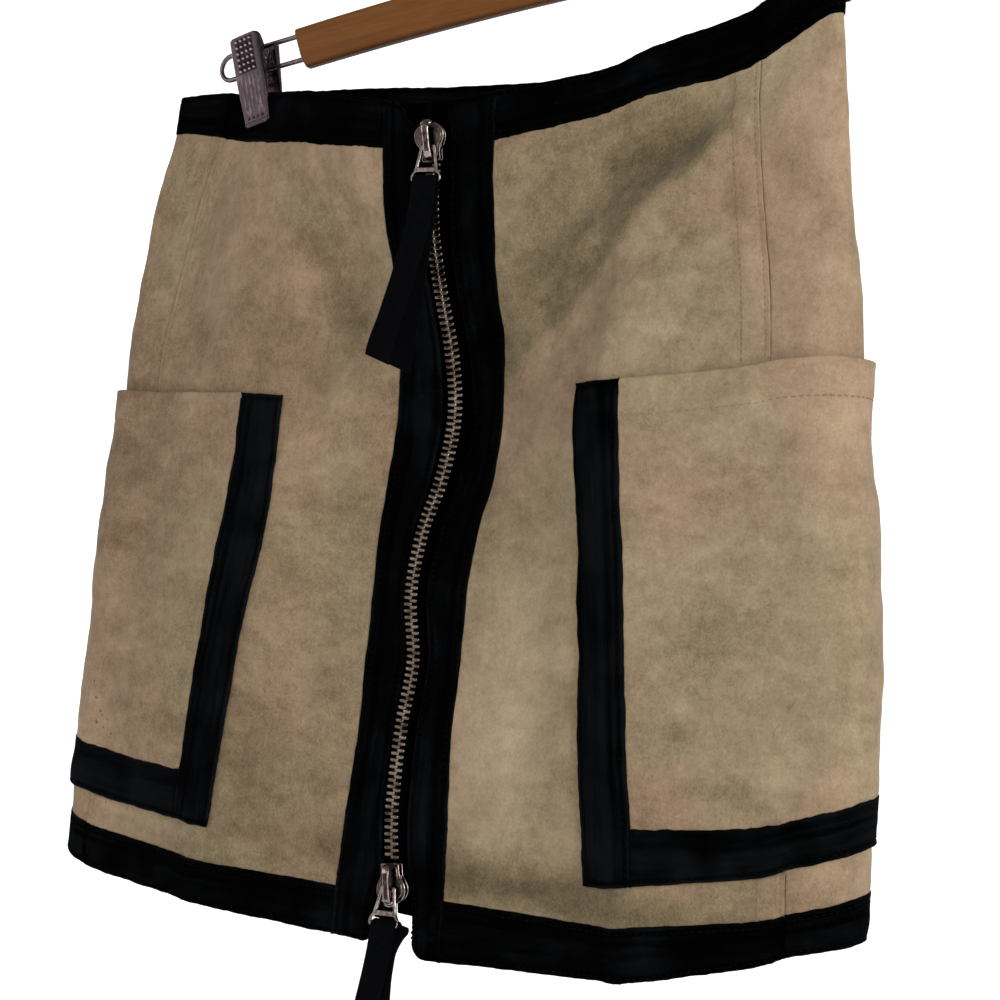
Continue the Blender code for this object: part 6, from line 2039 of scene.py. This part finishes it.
def jaw_piece(name, matrix, node):
    """Pressed jaw: a shallow channel whose side walls turn in to the wires,
    with rows of bumps above, faint ribs below and four nicks by its foot."""
    up, low, half = CLIP_UP, CLIP_LEN - CLIP_UP, CLIP_W / 2
    flat, r = 6.6, 1.5
    # distances round the section from its middle: flat, bend, side wall
    bend = math.pi / 2 * r
    front_u = np.linspace(0, flat, 30)
    turn = np.linspace(0, 1, 6)[1:]
    wall = np.array([0.2, 0.45, 0.7, 0.88, 1.0])
    zs = np.concatenate([np.linspace(-low, -low + 1.2, 5), np.linspace(-low + 1.2, -low + 7.2, 15)[1:],
                         np.linspace(-low + 7.2, BUMP_TOP - BUMP_ROWS * BUMP_Z, 14)[1:],
                         np.linspace(BUMP_TOP - BUMP_ROWS * BUMP_Z, BUMP_TOP, 67)[1:],
                         np.linspace(BUMP_TOP, up, 5)[1:]])
    # how deep the side walls reach behind the face at each height
    deep = np.interp(zs, [-low, -low + 3, -low + 16, -2.0, 3.5, 7.5, up], [0.55, 0.7, 1.8, 4.6, 5.2, 4.0, 2.0])
    # the plate narrows a little near its foot and is rounded at both ends
    end = np.minimum(zs + low, up - zs)
    narrow = np.where(end < 2.0, 2.0 - np.sqrt(np.maximum(4.0 - (2.0 - end) ** 2, 0)), 0) * 0.8
    wide = half - r - narrow - 0.5 * step_up(-12.0 - zs, 20.0) + (-0.6 if "back" in name else 0.6)
    k = len(zs)
    half_pts = []
    for u in front_u:
        half_pts.append(np.stack([u / flat * wide, np.zeros(k), zs], 1))
    for t in turn:
        a = t * math.pi / 2
        rr = np.minimum(r, np.maximum(deep * 0.8, 0.35))
        half_pts.append(np.stack([wide + rr * math.sin(a), rr * (1 - math.cos(a)), zs], 1))
    last = half_pts[-1]
    for t in wall:
        y = last[:, 1] + (np.maximum(deep, last[:, 1] + 0.15) - last[:, 1]) * t
        half_pts.append(np.stack([last[:, 0], y, zs], 1))
    right = np.stack(half_pts)                       # (n, k, 3), y behind the face
    left = right[1:][::-1] * np.array([-1, 1, 1])
    G = np.concatenate([left, right])
    n = len(G)
    X, Z = G[..., 0], G[..., 2]
    # pressed pattern, along -Y out of the face
    raised = np.zeros(X.shape)
    cx = (X / BUMP_X) % 1.0 - 0.5                   # columns at +-1.5 and +-4.5
    cz = ((BUMP_TOP - Z) / BUMP_Z) % 1.0 - 0.5
    inside = (np.abs(X) < 2 * BUMP_X) & (Z < BUMP_TOP) & (Z > BUMP_TOP - BUMP_ROWS * BUMP_Z)
    dome = np.clip(1 - (cx / 0.42) ** 2 - (cz / 0.36) ** 2, 0, 1)
    raised += np.where(inside, 0.95 * np.sqrt(dome) * step_up(dome - 0.02, 0.10), 0)
    floor_z = BUMP_TOP - BUMP_ROWS * BUMP_Z
    rx = (X / RIB_X + 0.5) % 1.0 - 0.5
    ribs = (np.abs(X) < 2.5 * RIB_X) * step_up(floor_z - 1.0 - Z, 1.4) * step_up(Z + low - NICK_UP - 2.4, 1.2)
    raised += 0.13 * ribs * step_up(0.36 - np.abs(rx), 0.3)
    kx = (X / 3.0) % 1.0 - 0.5
    nick = (np.abs(X) < 6.0) * step_up(0.30 - np.abs(kx), 0.12) * step_up(0.85 - np.abs(Z + low - NICK_UP), 0.5)
    raised -= 0.60 * nick
    # a rolled lip along the foot, and the face slightly crowned
    raised += 0.45 * np.exp(-((Z + low - 1.2) / 1.2) ** 2) * (np.abs(X) < wide[None, :] + 0.5)
    raised += 0.25 * (1 - (X / half) ** 2)
    raised = raised * (G[..., 1] < 0.05)
    # painted light and shade: highlights on the bumps, shade in the field between them and in the nicks, ribs in
    # between; the side walls get a middle value
    face = np.where(G[..., 1] < 0.05, 1.0, 0.0)
    field = inside * 1.0
    boss_light_and_shade = 0.62 + 0.10 * ribs * step_up(0.36 - np.abs(rx), 0.3) - 0.62 * nick
    boss_light_and_shade = boss_light_and_shade * (1 - field) + field * (0.06 + 0.95 * step_up(dome - 0.30, 0.35))
    boss_light_and_shade = boss_light_and_shade * face + 0.50 * (1 - face)
    N = grid_normals(G)
    N = N * np.where((N[..., 1:2].mean() > 0), -1.0, 1.0)
    thick = 1.05
    A = G + np.array([0, -0.8, 0]) + np.array([0.0, -1.0, 0.0]) * raised[..., None]
    B = G + np.array([0, -0.8, 0]) - N * (thick * np.clip(end / 0.6, 0.55, 1))[None, :, None]
    M = np.array(matrix)

    def out(Q):
        return (Q.reshape(-1, 3) * MM) @ M[:3, :3].T + M[:3, 3]
    o = new_mesh(name, np.concatenate([out(A), out(B)]), shell_faces(n, k), mat=JAW_M, sharp=50)
    at = o.data.attributes.new("boss_light_and_shade", "FLOAT", "POINT")
    at.data.foreach_set("value", np.concatenate([boss_light_and_shade.ravel(), boss_light_and_shade.ravel() * 0.5]).astype(np.float32))
    # side lugs that carry the pivot pin, inside the channel, and the pin
    bms = []
    for side in (-1, 1):
        lug = [(2.2, -6.5), (5.4, -4.2), (6.6, 0.0), (5.4, 4.2), (2.2, 7.0)]
        b = plate(round_corners(lug, 1.6), [oval(4.4, 0.0, 0.9, 0.9, 14)[::-1]], -0.5, 0.5, 0.2, 2)
        rot = Matrix(((0, 0, 1, 0), (1, 0, 0, 0), (0, 1, 0, 0), (0, 0, 0, 1)))
        b.transform(Matrix.Translation((side * (half - 1.9), 0.2, 0)) @ rot)
        bms.append(b)
    bm = merge(*bms)
    bmesh.ops.scale(bm, vec=(MM, MM, MM), verts=bm.verts[:])
    lugs = link_mesh(name + "_lugs", bm, CLIP_M, matrix, 45, flats=False)
    ride(o, node, slot="clip_metal")
    ride(lugs, slot="clip_metal")


def clip_piece(tag, x, z, spin):
    m = Matrix.Translation(place((x, 0, z))) @ Matrix.Rotation(math.radians(-spin), 4, "Y")
    low = z - (CLIP_LEN - CLIP_UP)
    foot = x + (CLIP_LEN - CLIP_UP) * math.sin(math.radians(spin))
    jaw_piece("jaw_front_" + tag, jaw_matrix(-1, m, grip_of(-1, foot, low)), "clip_front_" + tag)
    jaw_piece("jaw_back_" + tag, jaw_matrix(1, m, grip_of(1, foot, low)), "clip_back_" + tag)
    # torsion spring: a close coil with two straight tails under the plates
    turns, r = 5.5, 2.9
    pts = [(-5.2, -5.0, 7.0), (-5.2, -4.0, 4.0)]
    for k in range(0, int(turns * 20) + 1):
        a = 2 * math.pi * k / 20
        pts.append((-4.8 + 9.6 * k / (turns * 20), r * math.cos(a + 2.4), r * math.sin(a + 2.4)))
    pts += [(5.2, 4.0, 4.0), (5.2, 5.0, 7.0)]
    pts = [(px, py * 0.9, pz * 0.9) for px, py, pz in pts]
    tube("spring_" + tag, pts, 0.62, WIRE_M, m, "clip_spring_" + tag, n=8)


clip_piece("left", -150.96, -0.11, 13.6)
clip_piece("right", 168.5, 34.0, 6.0)

# --------------------------------------------------------------- the studio ----
def bowl():
    """Round pale sweep: a floor that curves up into a low wall all round."""
    prof = [(0.0, 0.0), (0.8, 0.0), (1.5, 0.0), (2.1, 0.02)]
    for k in range(1, 13):
        a = math.radians(7.5 * k)
        prof.append((2.1 + 1.5 * math.sin(a), 0.02 + 1.5 * (1 - math.cos(a))))
    prof.append((3.62, 2.3))
    n = 72
    bm = bmesh.new()
    rings = []
    for r, z in prof[1:]:
        rings.append([bm.verts.new((r * math.cos(2 * math.pi * j / n), r * math.sin(2 * math.pi * j / n), z - 0.80))
                      for j in range(n)])
    hub = bm.verts.new((0, 0, -0.80))
    for j in range(n):
        bm.faces.new((hub, rings[0][j], rings[0][(j + 1) % n]))
    for a, b in zip(rings, rings[1:]):
        for j in range(n):
            bm.faces.new((a[j], b[j], b[(j + 1) % n], a[(j + 1) % n]))
    me = bpy.data.meshes.new("pale_sweep")
    bm.to_mesh(me)
    bm.free()
    me.shade_smooth()
    m = bpy.data.materials.new("pale_sweep")
    m.use_nodes = True
    b = m.node_tree.nodes["Principled BSDF"]
    b.inputs["Base Color"].default_value = (0.86, 0.86, 0.86, 1)
    b.inputs["Roughness"].default_value = 0.9
    b.inputs["Specular IOR Level"].default_value = 0.1
    b.inputs["Emission Color"].default_value = (1, 1, 1, 1)
    b.inputs["Emission Strength"].default_value = 0.55
    me.materials.append(m)
    o = bpy.data.objects.new("pale_sweep", me)
    bpy.context.scene.collection.objects.link(o)


bowl()

world = bpy.data.worlds.new("studio")
bpy.context.scene.world = world
world.use_nodes = True
world.node_tree.nodes["Background"].inputs["Color"].default_value = (1.0, 0.985, 0.96, 1)
# dim as a light, pale where it shows above the sweep
seen = world.node_tree.nodes.new("ShaderNodeLightPath")
lift = world.node_tree.nodes.new("ShaderNodeMath")
lift.operation = "MULTIPLY_ADD"
lift.inputs[1].default_value = 0.90
lift.inputs[2].default_value = 0.22
world.node_tree.links.new(seen.outputs["Is Camera Ray"], lift.inputs[0])
world.node_tree.links.new(lift.outputs[0], world.node_tree.nodes["Background"].inputs["Strength"])
bpy.context.scene.view_settings.view_transform = "Standard"


def area(name, at, look, size, watts, colour):
    data = bpy.data.lights.new(name, "AREA")
    data.shape = "RECTANGLE"
    data.size, data.size_y = size
    data.energy = watts
    data.color = colour
    o = bpy.data.objects.new(name, data)
    bpy.context.scene.collection.objects.link(o)
    at, look = Vector(at), Vector(look)
    o.matrix_world = Matrix.Translation(at) @ (look - at).to_track_quat("-Z", "Y").to_matrix().to_4x4()


area("key", (1.95, -0.95, 0.35), (0.02, 0, -0.3), (0.8, 0.8), 36, (1.0, 0.99, 0.96))
area("fill", (-1.6, -1.3, 0.4), (-0.05, 0, -0.3), (1.4, 1.4), 4, (1.0, 0.95, 0.93))
area("back", (-0.4, 1.9, 0.7), (0, 0, -0.25), (1.6, 1.2), 12, (1.0, 0.98, 0.95))
